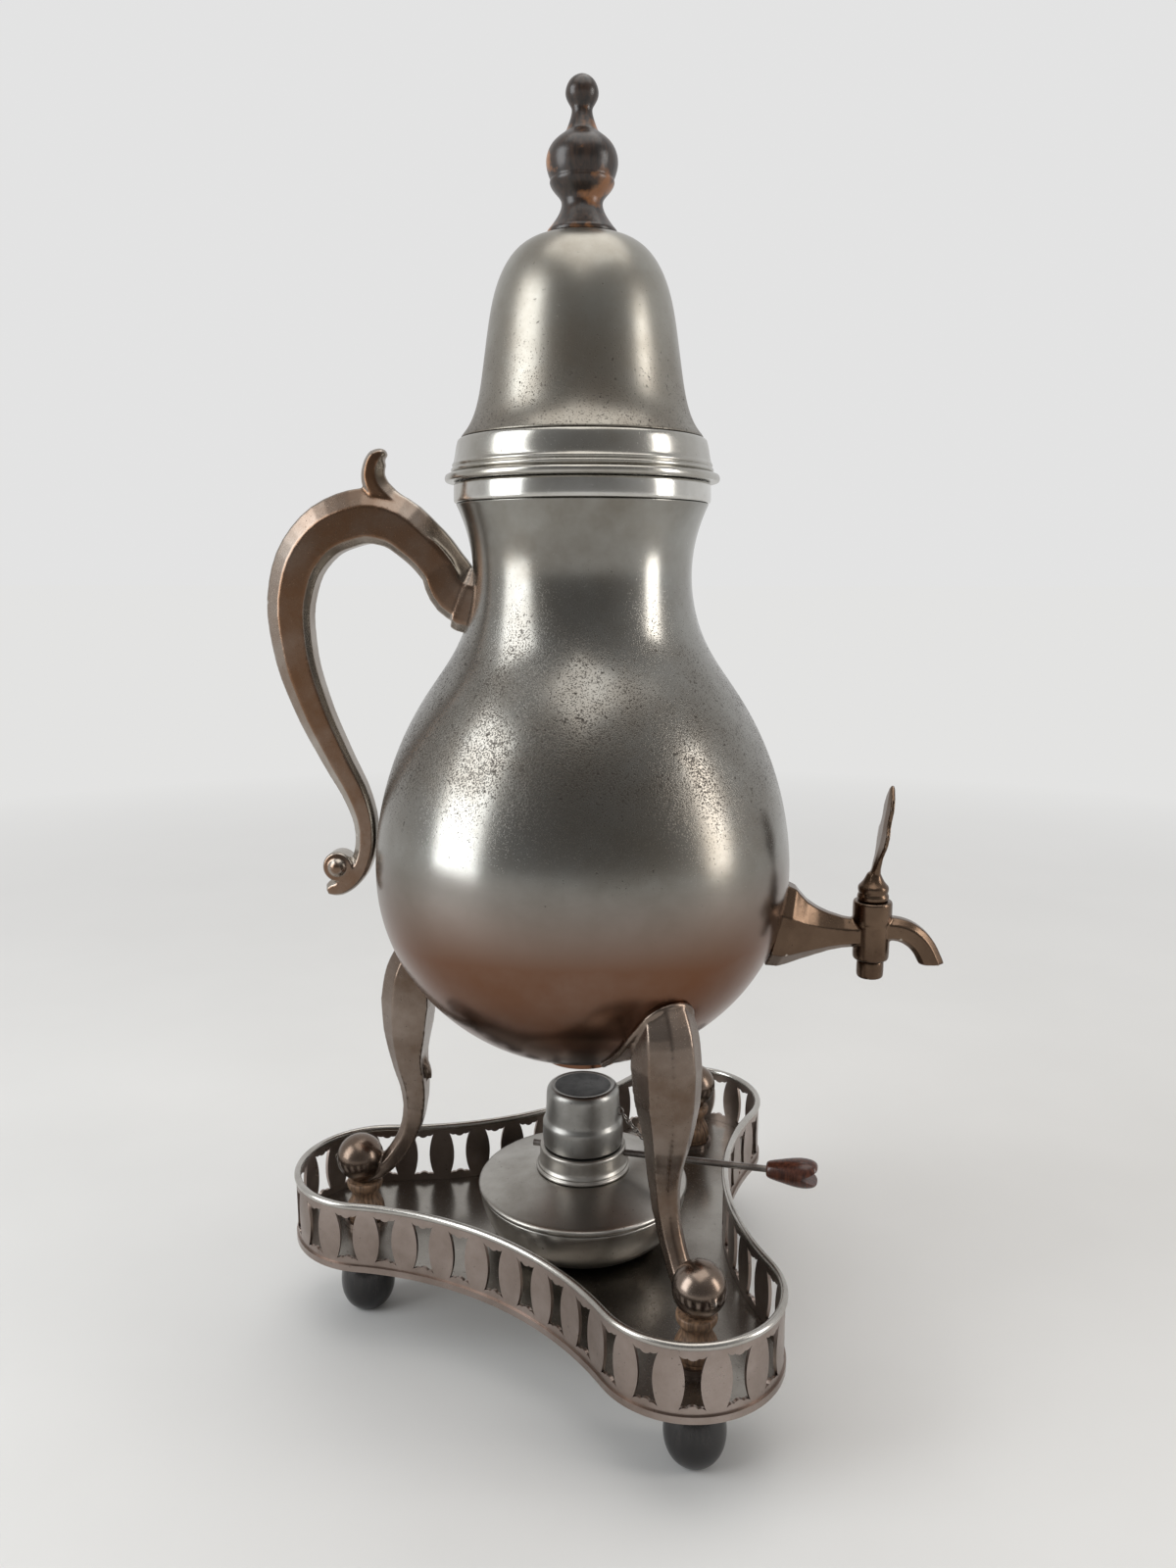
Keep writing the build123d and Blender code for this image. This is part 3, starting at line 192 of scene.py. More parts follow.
# Tray floor
# One flat piece of rolled pewter sheet, cut to the tray's three-lobed outline and soldered inside the
# gallery. Wiping has left it with fine lines and cloudy patches.
def pewter(
    name, bright, dull, shine=0.24, cloud=14.0, pits=0.0, pit_levels=None,
    painted_reflection=None, reflection_levels=None, worn=None, flat_side_shade=None,
):
    """Pewter with cloudy tarnish and fine wiping lines.

    It has dark pits, a painted brown reflection low down, edges worn bright and painted with a highlight,
    darker grooves, and painted brown shade on its flat sides, where these are given. Levels are the heights
    at which the pits or the painted reflection begin, are full, fade and end.
    """
    pit_brown, pit_black = (0.13, 0.107, 0.085, 1), (0.045, 0.038, 0.033, 1)
    groove_black = (0.03, 0.024, 0.02, 1)
    material, tree, shader = paint(name)
    place = add(tree, "ShaderNodeTexCoord").outputs["Object"]
    level = add(tree, "ShaderNodeSeparateXYZ", Vector=place).outputs["Z"]
    cloudy = add(tree, "ShaderNodeTexNoise", Vector=place, Scale=cloud, Detail=7.0, Roughness=0.62)
    clouds = cloudy.outputs["Fac"]
    colour = between(tree, spread(tree, clouds, 0.36, 0.66), bright, dull)
    # Painted brown reflection: below the given levels the colour turns brown.
    if painted_reflection:
        low, high = reflection_levels
        edge = times(tree, level, times(tree, clouds, 0.03), "ADD")
        below = spread(tree, edge, low + 0.015, high + 0.015, 1.0, 0.0)
        stain = times(tree, below, spread(tree, clouds, 0.25, 0.6, 0.8, 1.0))
        colour = between(tree, stain, colour, painted_reflection)
    rough = spread(tree, clouds, 0.3, 0.7, shine * 0.85, shine * 1.3)
    lines = add(tree, "ShaderNodeTexNoise", Vector=place, Scale=420.0, Detail=2.0)
    height = times(tree, lines.outputs["Fac"], 0.1)
    if pits:
        share = pits
        if pit_levels:
            low, full, fade, end = pit_levels
            band = times(tree, spread(tree, level, low, full), spread(tree, level, fade, end, 1.0, 0.0))
            share = times(tree, times(tree, band, spread(tree, clouds, 0.3, 0.55, 0.6, 1.0)), pits)
            colour = between(tree, times(tree, share, 0.5), colour, pit_brown)
        for scale, bare, full in ((1900.0, 0.76, 0.27), (640.0, 0.74, 0.16)):
            specks = add(tree, "ShaderNodeTexNoise", Vector=place, Scale=scale, Detail=2.0, Roughness=0.6)
            edge = times(tree, bare, times(tree, share, full), "SUBTRACT")
            past_edge = times(tree, specks.outputs["Fac"], edge, "SUBTRACT")
            speck = spread(tree, times(tree, past_edge, 9.0), 0.0, 1.0)
            colour = between(tree, times(tree, speck, 0.8), colour, pit_black)
            rough = times(tree, rough, times(tree, speck, 0.25), "ADD")
            height = times(tree, height, times(tree, speck, 0.6), "SUBTRACT")
    # Painted brown shade on the faces that look towards the camera and away from it.
    if flat_side_shade:
        facing = add(tree, "ShaderNodeTexCoord").outputs["Normal"]
        across = add(tree, "ShaderNodeSeparateXYZ", Vector=facing).outputs["Y"]
        flat = spread(tree, times(tree, across, across), 0.5, 0.85)
        side_shade_share = times(tree, flat, spread(tree, clouds, 0.3, 0.6, 0.7, 1.0))
        colour = between(tree, side_shade_share, colour, flat_side_shade)
    # Edges are lightened, partly for wear and partly as a painted highlight, and grooves are darkened.
    if worn:
        bend = add(tree, "ShaderNodeNewGeometry").outputs["Pointiness"]
        colour = between(tree, spread(tree, bend, 0.53, 0.6), colour, worn)
        colour = between(tree, spread(tree, bend, 0.4, 0.47, 0.8, 0.0), colour, groove_black)
    bump = add(tree, "ShaderNodeBump", Height=height, Strength=0.22, Distance=0.0002)
    tree.links.new(colour, shader.inputs["Base Color"])
    tree.links.new(rough, shader.inputs["Roughness"])
    tree.links.new(bump.outputs["Normal"], shader.inputs["Normal"])
    shader.inputs["Metallic"].default_value = 1.0
    return material


def dress(node, material):
    """Gives a CAD node, or a new piece, one material."""
    piece = nodes[node] if isinstance(node, str) else node
    piece.data.materials.clear()
    piece.data.materials.append(material)


sheet_pewter = pewter("sheet_pewter", (0.34, 0.32, 0.29, 1), (0.19, 0.17, 0.15, 1), 0.22, 22.0, 0.35)
dress("tray_floor", sheet_pewter)

# Gallery
# Three strips of pierced sheet, bent round a lobe each and soldered where they meet in the waists.
# Their bars have gone a warm, cloudy grey.
gallery_pewter = pewter("gallery_pewter", (0.36, 0.3, 0.27, 1), (0.21, 0.165, 0.14, 1), 0.3, 30.0, 0.3)
for name in ("gallery_left", "gallery_front", "gallery_back"):
    dress(name, gallery_pewter)

# Rim wire
# Round drawn wire with a flat filed under it, soldered along the top of the gallery. Hands have rubbed
# it bright.
wire_pewter = pewter("wire_pewter", (0.52, 0.5, 0.47, 1), (0.32, 0.3, 0.27, 1), 0.22, 26.0, 0.2)
dress("rim_wire", wire_pewter)


# Tray feet
# Three wooden balls on short necks, turned on a lathe, stained black and polished. Hidden studs hold
# them under the floor.
def pick(piece):
    """Selects one object alone and makes it the active one."""
    bpy.ops.object.select_all(action="DESELECT")
    piece.select_set(True)
    bpy.context.view_layer.objects.active = piece


def turned(name, rings, centre=(0.0, 0.0), around=48, ring=False):
    """Turns a piece: a circle is drawn through rings of (radius, level) in millimetres, then smoothed.

    A ring's outline comes back to where it began. Any other piece is closed over at both ends.
    """
    x, y = centre
    (radius, level), *rest = rings
    bpy.ops.object.select_all(action="DESELECT")
    bpy.ops.mesh.primitive_circle_add(
        vertices=around, radius=radius * mm, location=(x * mm, y * mm, level * mm),
        fill_type="NOTHING" if ring else "TRIFAN",
    )
    piece = bpy.context.object
    piece.name = piece.data.name = name
    bpy.ops.object.mode_set(mode="EDIT")
    bpy.ops.mesh.select_all(action="SELECT")
    if not ring:
        bpy.ops.mesh.region_to_loop()
    for next_radius, next_level in rest:
        rise = (0, 0, (next_level - level) * mm)
        bpy.ops.mesh.extrude_edges_move(TRANSFORM_OT_translate={"value": rise})
        grow = next_radius / radius
        bpy.ops.transform.resize(value=(grow, grow, 1), center_override=(x * mm, y * mm, next_level * mm))
        radius, level = next_radius, next_level
    if ring:
        bpy.ops.mesh.select_all(action="DESELECT")
        bpy.ops.mesh.select_non_manifold()
        bpy.ops.mesh.bridge_edge_loops()
    else:
        bpy.ops.mesh.edge_face_add()
        bpy.ops.mesh.poke()
    bpy.ops.mesh.select_all(action="SELECT")
    bpy.ops.mesh.normals_make_consistent(inside=False)
    bpy.ops.object.mode_set(mode="OBJECT")
    smooth(piece, 2)
    return piece


def smooth(piece, levels):
    """Rounds a mesh by subdivision, and shades it smooth."""
    rounded = piece.modifiers.new("rounded", "SUBSURF")
    rounded.levels = rounded.render_levels = levels
    bpy.ops.object.modifier_apply(modifier="rounded")
    bpy.ops.object.shade_smooth()


def fit(piece, material, body, slot, *replaced):
    """Puts a finished piece's place into its mesh and fixes it to its body, in its finish. Its slot is not
    used.
    """
    pick(piece)
    bpy.ops.object.transform_apply(location=True, rotation=True, scale=True)
    dress(piece, material)
    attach(piece, body)
    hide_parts(*replaced)


def thrice(piece, names, make_fit):
    """Fits a piece that stands at the left leg's place, and a copy of it at each of the other two."""
    bpy.ops.object.transform_apply(location=True, rotation=True, scale=True)
    others = []
    for name, turn in zip(names[1:], (120, 240)):
        other = piece.copy()
        other.data = piece.data.copy()
        other.name = other.data.name = name
        bpy.context.scene.collection.objects.link(other)
        other.rotation_euler.z = radians(turn)
        others.append(other)
    for made, node in zip([piece] + others, names):
        make_fit(made, node)


def wood(name, pale, dark, shine, worn=None):
    """Stained, turned wood with fine upright grain, and patches where the stain has worn through."""
    material, tree, shader = paint(name)
    place = add(tree, "ShaderNodeTexCoord").outputs["Object"]
    stretch = add(tree, "ShaderNodeMapping", Vector=place)
    stretch.inputs["Scale"].default_value = (1.0, 1.0, 0.12)
    grain = add(tree, "ShaderNodeTexNoise", Vector=stretch.outputs["Vector"], Scale=900.0, Detail=5.0)
    colour = between(tree, spread(tree, grain.outputs["Fac"], 0.35, 0.65), pale, dark)
    if worn:
        patch = add(tree, "ShaderNodeTexNoise", Vector=place, Scale=110.0, Detail=5.0)
        colour = between(tree, spread(tree, patch.outputs["Fac"], 0.56, 0.66), colour, worn)
    bump = add(tree, "ShaderNodeBump", Height=grain.outputs["Fac"], Strength=0.15, Distance=0.0003)
    tree.links.new(colour, shader.inputs["Base Color"])
    tree.links.new(bump.outputs["Normal"], shader.inputs["Normal"])
    shader.inputs["Roughness"].default_value = shine
    return material


black_wood = wood("black_wood", (0.02, 0.017, 0.016, 1), (0.008, 0.007, 0.007, 1), 0.22)
foot_circle = 86.0
ball_radius, ball_level, neck_radius = 10.8, 11.5, 5.7
foot = turned(
    "black_foot_left",
    [
        (5.2, 0.02), (5.6, 0.1), (8.2, 2.2), (10.2, 6.2), (ball_radius, ball_level), (10.1, 16.6),
        (7.9, 21.6), (6.1, 25.0), (neck_radius, 27.6), (6.4, 29.8), (7.8, 30.8), (8.0, 31.4), (8.0, 34.4),
        (7.8, 34.6),
    ],
    (-foot_circle, 0), around=32,
)
thrice(
    foot,
    ("black_foot_left", "black_foot_front", "black_foot_back"),
    lambda made, name: fit(made, black_wood, "tray", "black_wood", name.replace("black", "tray")),
)

# Spool cups
# Three low rings of pewter strip, soldered to the tray's floor, one in each lobe. They keep the urn's
# spools in their places.
dress("spool_cups", gallery_pewter)

# Spools
# Turned spools of worn brown wood between the leg balls and the tray, which keep the legs' heat off it.
# Hidden pins hold them to the legs, and the cups on the floor keep them in place.
brown_wood = wood("brown_wood", (0.33, 0.2, 0.12, 1), (0.1, 0.06, 0.035, 1), 0.5)
spool = turned(
    "wood_spool_left",
    [
        (6.4, 36.02), (6.6, 36.3), (6.6, 37.9), (6.3, 38.3), (7.1, 38.9), (7.5, 41.0), (7.2, 43.2),
        (5.8, 45.6), (5.0, 47.4), (5.4, 49.2), (6.6, 50.6), (6.9, 51.6), (6.9, 53.2), (6.6, 53.58),
    ],
    (-foot_circle, 0), around=32,
)
thrice(
    spool,
    ("wood_spool_left", "wood_spool_front", "wood_spool_back"),
    lambda made, name: fit(made, brown_wood, "urn", "brown_wood", name.replace("wood_", "")),
)

# Urn
# Cast and turned pewter, soldered up from a base, a shoulder and a neck and skimmed smooth over the seams.
# Its outline is one run of five arcs. It is polished on the belly, painted with a brown reflection low
# down, and eaten by fine dark pits all round the shoulder.
# Low on the belly the urn is painted with a brown reflection.
urn_pewter = pewter(
    "urn_pewter", (0.36, 0.36, 0.34, 1), (0.2, 0.185, 0.16, 1), 0.2, 16.0,
    1.0, (0.182, 0.222, 0.262, 0.3), (0.15, 0.066, 0.034, 1), (0.164, 0.196),
)
pole, mouth_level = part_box("urn_base")[0].z / mm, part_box("urn_neck")[1].z / mm
base_end, belly_level, shoulder_end, waist_level = 145.9, 181.0, 253.1, 287
base_arc = 77.16
urn_arcs = [
    (base_end, 0.0, pole + base_arc, base_arc, 1),
    (belly_level, 10.34, belly_level, 64.86, 1),
    (shoulder_end, -40.4, belly_level, 115.6, 1),
    (waist_level, 92.5, waist_level, 54.4, -1),
    (mouth_level, 90.65, waist_level, 52.55, -1),
]


def urn_reach(level):
    """The outside radius of the urn at a level, in millimetres.

    An arc has its top level, its middle's distance from the urn's axis, its middle's level, its radius,
    and 1 where it swells outwards or -1 where it is hollow.
    """
    for top, middle, middle_level, radius, swell in urn_arcs:
        if level < top:
            break
    return middle + swell * (radius ** 2 - (middle_level - level) ** 2) ** 0.5


urn_wall, pole_hole = 1.9, 1.2
urn_levels = [110.9, 112.4, 115, 119, 124, 130, 137, 144, 152, 161, 171, 181, 192, 203, 214, 225, 235, 245]
urn_levels += [254, 262, 270, 279, 288, 296, 303, 308, mouth_level - 0.4, mouth_level]
urn_rings = [(urn_reach(level), level) for level in urn_levels]
inner_rings = [(radius - urn_wall, level) for radius, level in urn_rings[:3:-1]]
bottom_rings = [(16.0, 115.2), (pole_hole, 113.2)]
urn = turned("urn_wall", [(pole_hole, pole)] + urn_rings + inner_rings + bottom_rings, around=72)
fit(urn, urn_pewter, "urn", "pewter_urn", "urn_base", "urn_body", "urn_neck")

# Base ring
# A low turned ring soldered round the pole under the belly. It wears the belly's painted brown
# reflection.
dress("base_ring", urn_pewter)

# Neck collar
# A ring turned from thicker pewter, soldered round the mouth and rubbed bright. The lid's rim sits on
# it.
collar_pewter = pewter("collar_pewter", (0.62, 0.61, 0.58, 1), (0.42, 0.4, 0.36, 1), 0.16, 24.0, 0.15)
collar_low, collar_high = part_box("neck_collar")
collar_radius, collar_bore = collar_high.x / mm, 41.0
collar_foot, collar_top = collar_low.z / mm, collar_high.z / mm
collar = turned(
    "mouth_collar",
    [
        (collar_bore, collar_foot), (collar_radius - 1, collar_foot),
        (collar_radius - 0.2, collar_foot + 0.4), (collar_radius, collar_foot + 1),
        (collar_radius - 0.1, collar_top - 0.6), (collar_radius - 0.4, collar_top), (collar_bore, collar_top),
    ],
    around=64, ring=True,
)
fit(collar, collar_pewter, "urn", "pewter_collar", "neck_collar")


# Handle
# A cast scroll handle with a thumb leaf on its crest, soldered to the neck by a short block. Its bar has its
# edges cut off, and its tail curls out to a beak beside a round boss, resting on the belly on its way.
def bent_bar(name, stations, turn, outer_edge, inner_edge):
    """A cast bar: a straight strip of tapering sections has its long edges cut off, and is bent to a curve.

    A station is a distance from the urn's axis, a level, a depth in the curve's plane and a width, in
    millimetres. The curve stands upright at the angle turn. The shares cut off are in percent.
    """
    along = [0.0]
    for (near, low, _, _), (far, high, _, _) in zip(stations, stations[1:]):
        along.append(along[-1] + hypot(far - near, high - low))
    bpy.ops.object.select_all(action="DESELECT")
    bpy.ops.mesh.primitive_plane_add(size=1, rotation=(0, pi / 2, 0))
    bar = bpy.context.object
    bar.name = bar.data.name = name
    bpy.ops.object.transform_apply(location=False, rotation=True, scale=False)
    _, _, depth, width = stations[0]
    bpy.ops.object.mode_set(mode="EDIT")
    bpy.ops.mesh.select_all(action="SELECT")
    bpy.ops.transform.resize(value=(1, depth * mm, width * mm))
    for start, end, (_, _, next_depth, next_width) in zip(along, along[1:], stations[1:]):
        bpy.ops.mesh.extrude_region_move(TRANSFORM_OT_translate={"value": ((end - start) * mm, 0, 0)})
        grow = (1, next_depth / depth, next_width / width)
        bpy.ops.transform.resize(value=grow, center_override=(end * mm, 0, 0))
        depth, width = next_depth, next_width
    bpy.ops.mesh.select_all(action="SELECT")
    bpy.ops.mesh.normals_make_consistent(inside=False)
    bpy.ops.mesh.select_mode(type="EDGE")
    for side, share in ((1, outer_edge), (-1, inner_edge)):
        bpy.ops.mesh.select_all(action="DESELECT")
        bpy.ops.object.mode_set(mode="OBJECT")
        points = bar.data.vertices
        for long_edge in bar.data.edges:
            first, second = (points[index].co for index in long_edge.vertices)
            long_edge.select = abs(first.x - second.x) > 0.3 * mm and side * first.y > 0
        bpy.ops.object.mode_set(mode="EDIT")
        if share:
            bpy.ops.mesh.bevel(offset_type="PERCENT", offset_pct=share, segments=1)
    bpy.ops.object.mode_set(mode="OBJECT")
    finer = bar.modifiers.new("finer", "SUBSURF")
    finer.subdivision_type = "SIMPLE"
    finer.levels = finer.render_levels = 2
    bpy.ops.object.modifier_apply(modifier="finer")
    line = bpy.data.curves.new("bend_line", "CURVE")
    line.dimensions, line.resolution_u = "2D", 32
    line.use_stretch = line.use_deform_bounds = True
    run = line.splines.new("BEZIER")
    run.bezier_points.add(len(stations) - 1)
    for point, (reach, level, _, _) in zip(run.bezier_points, stations):
        point.co = (reach * mm, level * mm, 0)
        point.handle_left_type = point.handle_right_type = "AUTO"
    bend_line = bpy.data.objects.new("bend_line", line)
    bpy.context.scene.collection.objects.link(bend_line)
    bar.rotation_euler = bend_line.rotation_euler = (pi / 2, 0, radians(turn))
    bend = bar.modifiers.new("bend", "CURVE")
    bend.object, bend.deform_axis = bend_line, "POS_X"
    bpy.context.view_layer.update()
    bpy.ops.object.modifier_apply(modifier="bend")
    bpy.data.objects.remove(bend_line)
    bpy.ops.object.transform_apply(location=True, rotation=True, scale=True)
    return bar


def cast(name, parts, grain):
    """Joins overlapping parts into one casting. The grain is how finely it is skinned, in millimetres."""
    bpy.ops.object.select_all(action="DESELECT")
    for part in parts:
        part.select_set(True)
    casting = parts[0]
    bpy.context.view_layer.objects.active = casting
    bpy.ops.object.join()
    skin = casting.modifiers.new("skin", "REMESH")
    skin.mode, skin.voxel_size = "VOXEL", grain * mm
    bpy.ops.object.modifier_apply(modifier="skin")
    worn = casting.modifiers.new("worn", "SMOOTH")
    worn.factor, worn.iterations = 0.5, 3
    bpy.ops.object.modifier_apply(modifier="worn")
    bpy.ops.object.shade_smooth()
    casting.name = casting.data.name = name
    return casting


handle_bar = bent_bar(
    "handle_bar",
    [
        (37.5, 278.4, 21.6, 12.6), (44.4, 281.8, 20, 12.6), (49.6, 290, 16.6, 12), (56.6, 298, 17.2, 12),
        (69.5, 306.6, 19.2, 12), (84, 305.8, 19.4, 12), (97, 297.4, 18.2, 12), (104.4, 282.5, 17, 11.8),
        (104.8, 262, 15.4, 11.2), (99.3, 241, 13.4, 10.6), (90.5, 221, 11.3, 10), (82.8, 205, 9.6, 9.4),
        (80.4, 193.5, 8.2, 9), (82.2, 182.5, 7.6, 8.8), (86.6, 175.8, 7.8, 8.6), (91, 172.6, 7.2, 8.2),
        (94, 171.6, 5.6, 7.4), (95.6, 171, 3.8, 6.4),
    ],
    turn=180, outer_edge=34, inner_edge=20,
)
thumb_leaf = bent_bar(
    "thumb_leaf",
    [
        (44.6, 287.4, 2.4, 3), (49, 294.4, 5, 5), (55.4, 302.4, 7.4, 6.4), (63.4, 309, 9, 7.2),
        (70, 313.8, 9.6, 7.8), (73.4, 319.4, 8.6, 8), (73.4, 323.8, 7.8, 7.8), (71.8, 327, 7.2, 7.4),
        (69.8, 328.2, 4.4, 6), (68.6, 328, 1, 3),
    ],
    turn=180, outer_edge=34, inner_edge=34,
)
vein_side = 4.9
vein_stations = [(57, 302.2, 0.8, 0.8), (51.5, 297.5, 2.2, 1.8), (46.6, 291.4, 2.8, 2.2), (42.2, 285, 1, 1)]
veins = []
for side in (-1, 1):
    vein = bent_bar("vein", vein_stations, turn=180, outer_edge=30, inner_edge=30)
    pick(vein)
    bpy.ops.transform.translate(value=(0, side * vein_side * mm, 0))
    bpy.ops.object.transform_apply(location=True, rotation=False, scale=False)
    veins.append(vein)
socket = bent_bar(
    "socket", [(36.5, 277.6, 23.6, 14), (41.4, 278.6, 23.2, 13.8), (43, 279.2, 21.6, 13)],
    turn=180, outer_edge=30, inner_edge=20,
)
boss_place = (-90.8 * mm, 0, 180.3 * mm)
boss_radius, boss_swell = 4.9, 1.4
boss_ring_radius, boss_ring_width, boss_ring_edge = 5.7, 9.2, 1.1
bpy.ops.object.select_all(action="DESELECT")
bpy.ops.mesh.primitive_uv_sphere_add(segments=32, ring_count=16, radius=boss_radius * mm, location=boss_place)
boss = bpy.context.object
bpy.ops.object.mode_set(mode="EDIT")
bpy.ops.transform.resize(value=(1, boss_swell, 1), center_override=tuple(boss.location))
bpy.ops.object.mode_set(mode="OBJECT")
bpy.ops.object.select_all(action="DESELECT")
bpy.ops.mesh.primitive_cylinder_add(
    vertices=40, radius=boss_ring_radius * mm, depth=boss_ring_width * mm,
    location=tuple(boss.location), rotation=(pi / 2, 0, 0),
)
boss_ring = bpy.context.object
boss_round = boss_ring.modifiers.new("edge", "BEVEL")
boss_round.width, boss_round.segments = boss_ring_edge * mm, 3
bpy.ops.object.modifier_apply(modifier="edge")
for part in (boss, boss_ring):
    pick(part)
    bpy.ops.object.transform_apply(location=True, rotation=True, scale=True)
handle = cast("scroll_handle", [handle_bar, thumb_leaf, *veins, socket, boss, boss_ring], 0.5)
# The handle's worn edge colour is partly wear and partly a painted highlight.
handle_pewter = pewter(
    "handle_pewter", (0.42, 0.385, 0.345, 1), (0.24, 0.19, 0.15, 1), 0.24, 30.0, 0.3,
    # The flat-side colour is a painted brown shade on the handle's flat sides.
    worn=(0.55, 0.52, 0.48, 1), flat_side_shade=(0.145, 0.078, 0.044, 1),
)
fit(handle, handle_pewter, "urn", "pewter_handle", "handle", "handle_socket")

# Legs
# Three cast scroll legs with a raised border where they are soldered to the belly, three faces down the
# front, a spur inside the shank, and a ball at the toe. They stand on the spools, held by hidden pins.
leg_bar = bent_bar(
    "leg_bar",
    [
        (61.5, 149, 15, 16.5), (65.2, 140, 17.5, 19), (66.6, 129, 19, 20), (67.2, 117, 16.8, 18.8),
        (67, 105, 12.4, 14.8), (65.2, 94, 10.2, 11), (65.2, 85, 8.6, 8.8), (67.4, 75.4, 7.6, 7.6),
        (72, 67, 7, 7.2), (78, 60.2, 6.4, 7.8), (83.6, 56.6, 5, 9), (89.6, 55.6, 3, 9),
    ],
    turn=180, outer_edge=30, inner_edge=0,
)
spur = bent_bar(
    "spur", [(66, 108, 5, 6.5), (61.8, 103, 4.4, 5), (59.4, 99, 2.2, 3.2), (58.6, 96.4, 0.7, 1)],
    turn=180, outer_edge=25, inner_edge=25,
)
heel = bent_bar(
    "heel", [(66, 88, 5, 6), (62.4, 93, 3.6, 4.4), (60.4, 97, 1.6, 2.4), (59.4, 99, 0.6, 1)],
    turn=180, outer_edge=25, inner_edge=25,
)
border_bead, border_rise = 1.25, 0.5
border_points = [(10.2, 121), (10.6, 131), (9.6, 142), (6, 149.2), (0, 151)]
border_points += [(-across, level) for across, level in border_points[-2::-1]]
border = bpy.data.curves.new("border", "CURVE")
border.dimensions, border.bevel_depth, border.bevel_resolution = "3D", border_bead * mm, 4
border.use_fill_caps = True
border_run = border.splines.new("BEZIER")
border_run.bezier_points.add(len(border_points) - 1)
for point, (across, level) in zip(border_run.bezier_points, border_points):
    wall = (urn_reach(level) ** 2 - across ** 2) ** 0.5
    point.co = (-wall * mm - border_rise * mm, across * mm, level * mm)
    point.handle_left_type = point.handle_right_type = "AUTO"
leg_border = bpy.data.objects.new("leg_border", border)
bpy.context.scene.collection.objects.link(leg_border)
pick(leg_border)
bpy.ops.object.convert(target="MESH")
toe_radius, toe_reach, toe_level = 9.0, 87.4, 62.7
bpy.ops.object.select_all(action="DESELECT")
bpy.ops.mesh.primitive_uv_sphere_add(
    segments=40, ring_count=24, radius=toe_radius * mm, location=(-toe_reach * mm, 0, toe_level * mm)
)
leg_ball = bpy.context.object
bpy.ops.object.transform_apply(location=True, rotation=False, scale=False)
nib = bent_bar(
    "nib", [(91.6, 62.7, 7, 7), (95, 62.6, 4.4, 4.4), (96.8, 62.5, 2.2, 2.2), (97.6, 62.4, 0.8, 0.8)],
    turn=180, outer_edge=30, inner_edge=30,
)
leg_left = cast("scroll_leg_left", [leg_bar, spur, heel, leg_border, leg_ball, nib], 0.5)
# The legs' worn edge colour is partly wear and partly a painted highlight.
leg_pewter = pewter(
    "leg_pewter", (0.23, 0.185, 0.155, 1), (0.12, 0.08, 0.056, 1), 0.24, 34.0, 0.3, worn=(0.55, 0.53, 0.5, 1)
)
thrice(
    leg_left,
    ("scroll_leg_left", "scroll_leg_front", "scroll_leg_back"),
    lambda made, name: fit(made, leg_pewter, "urn", "pewter_legs", name.replace("scroll_", "")),
)


# Tap
# A cast tap: a faceted trumpet soldered to the belly, a barrel with a moulded band, and a spout that
# curls down to a flat mouth. The plug is turned, drawn down by a nut below, and carries a leaf key.
def cut_away(piece, cutter):
    """Cuts one object's shape out of another, and removes the cutter."""
    pick(piece)
    cut = piece.modifiers.new("cut", "BOOLEAN")
    cut.object, cut.operation, cut.solver = cutter, "DIFFERENCE", "EXACT"
    bpy.ops.object.modifier_apply(modifier="cut")
    bpy.data.objects.remove(cutter)


tap_reach = 105.5
trumpet = bent_bar(
    "trumpet",
    [
        (70.6, 161.8, 31, 23), (74.6, 160.8, 29.6, 22), (77.6, 160.2, 25.8, 19.6), (81, 159.7, 21.4, 17),
        (85.5, 159.3, 17.2, 14), (90, 159.1, 13.8, 11.8), (95, 158.9, 11.2, 10.2), (102, 158.8, 9.6, 9.2),
    ],
    turn=0, outer_edge=31, inner_edge=31,
)
spout = bent_bar(
    "spout",
    [
        (104, 160, 8.6, 8.6), (110, 160.6, 8.6, 8.6), (115.4, 160.3, 8.4, 8.6), (120, 158.2, 8.4, 8.6),
        (123.8, 154.4, 8.4, 8.6), (126.4, 149.6, 8.4, 8.4), (128.2, 145.4, 8.4, 8.2),
    ],
    turn=0, outer_edge=26, inner_edge=26,
)
spout_mouth = 148
bpy.ops.object.mode_set(mode="EDIT")
bpy.ops.mesh.select_all(action="SELECT")
bpy.ops.mesh.bisect(
    plane_co=(0, 0, spout_mouth * mm), plane_no=(0, 0, 1), use_fill=True, clear_inner=True
)
bpy.ops.object.mode_set(mode="OBJECT")
barrel = turned(
    "barrel",
    [
        (5.4, 148.9), (6.1, 149), (6.5, 149.6), (6.6, 151), (6.6, 162.2), (6.7, 162.8), (7.1, 163.2),
        (7.1, 170.4), (6.9, 170.9), (6.1, 171),
    ],
    (tap_reach, 0), around=40,
)
tap = cast("cast_tap", [trumpet, spout, barrel], 0.4)
bore_radius, bore_length, bore_tilt = 2.4, 9, radians(-24)
bore_reach, bore_rise = 127.2, 0.6
bpy.ops.object.select_all(action="DESELECT")
bpy.ops.mesh.primitive_cylinder_add(
    vertices=32, radius=bore_radius * mm, depth=bore_length * mm,
    location=(bore_reach * mm, 0, (spout_mouth + bore_rise) * mm), rotation=(0, bore_tilt, 0),
)
cut_away(tap, bpy.context.object)
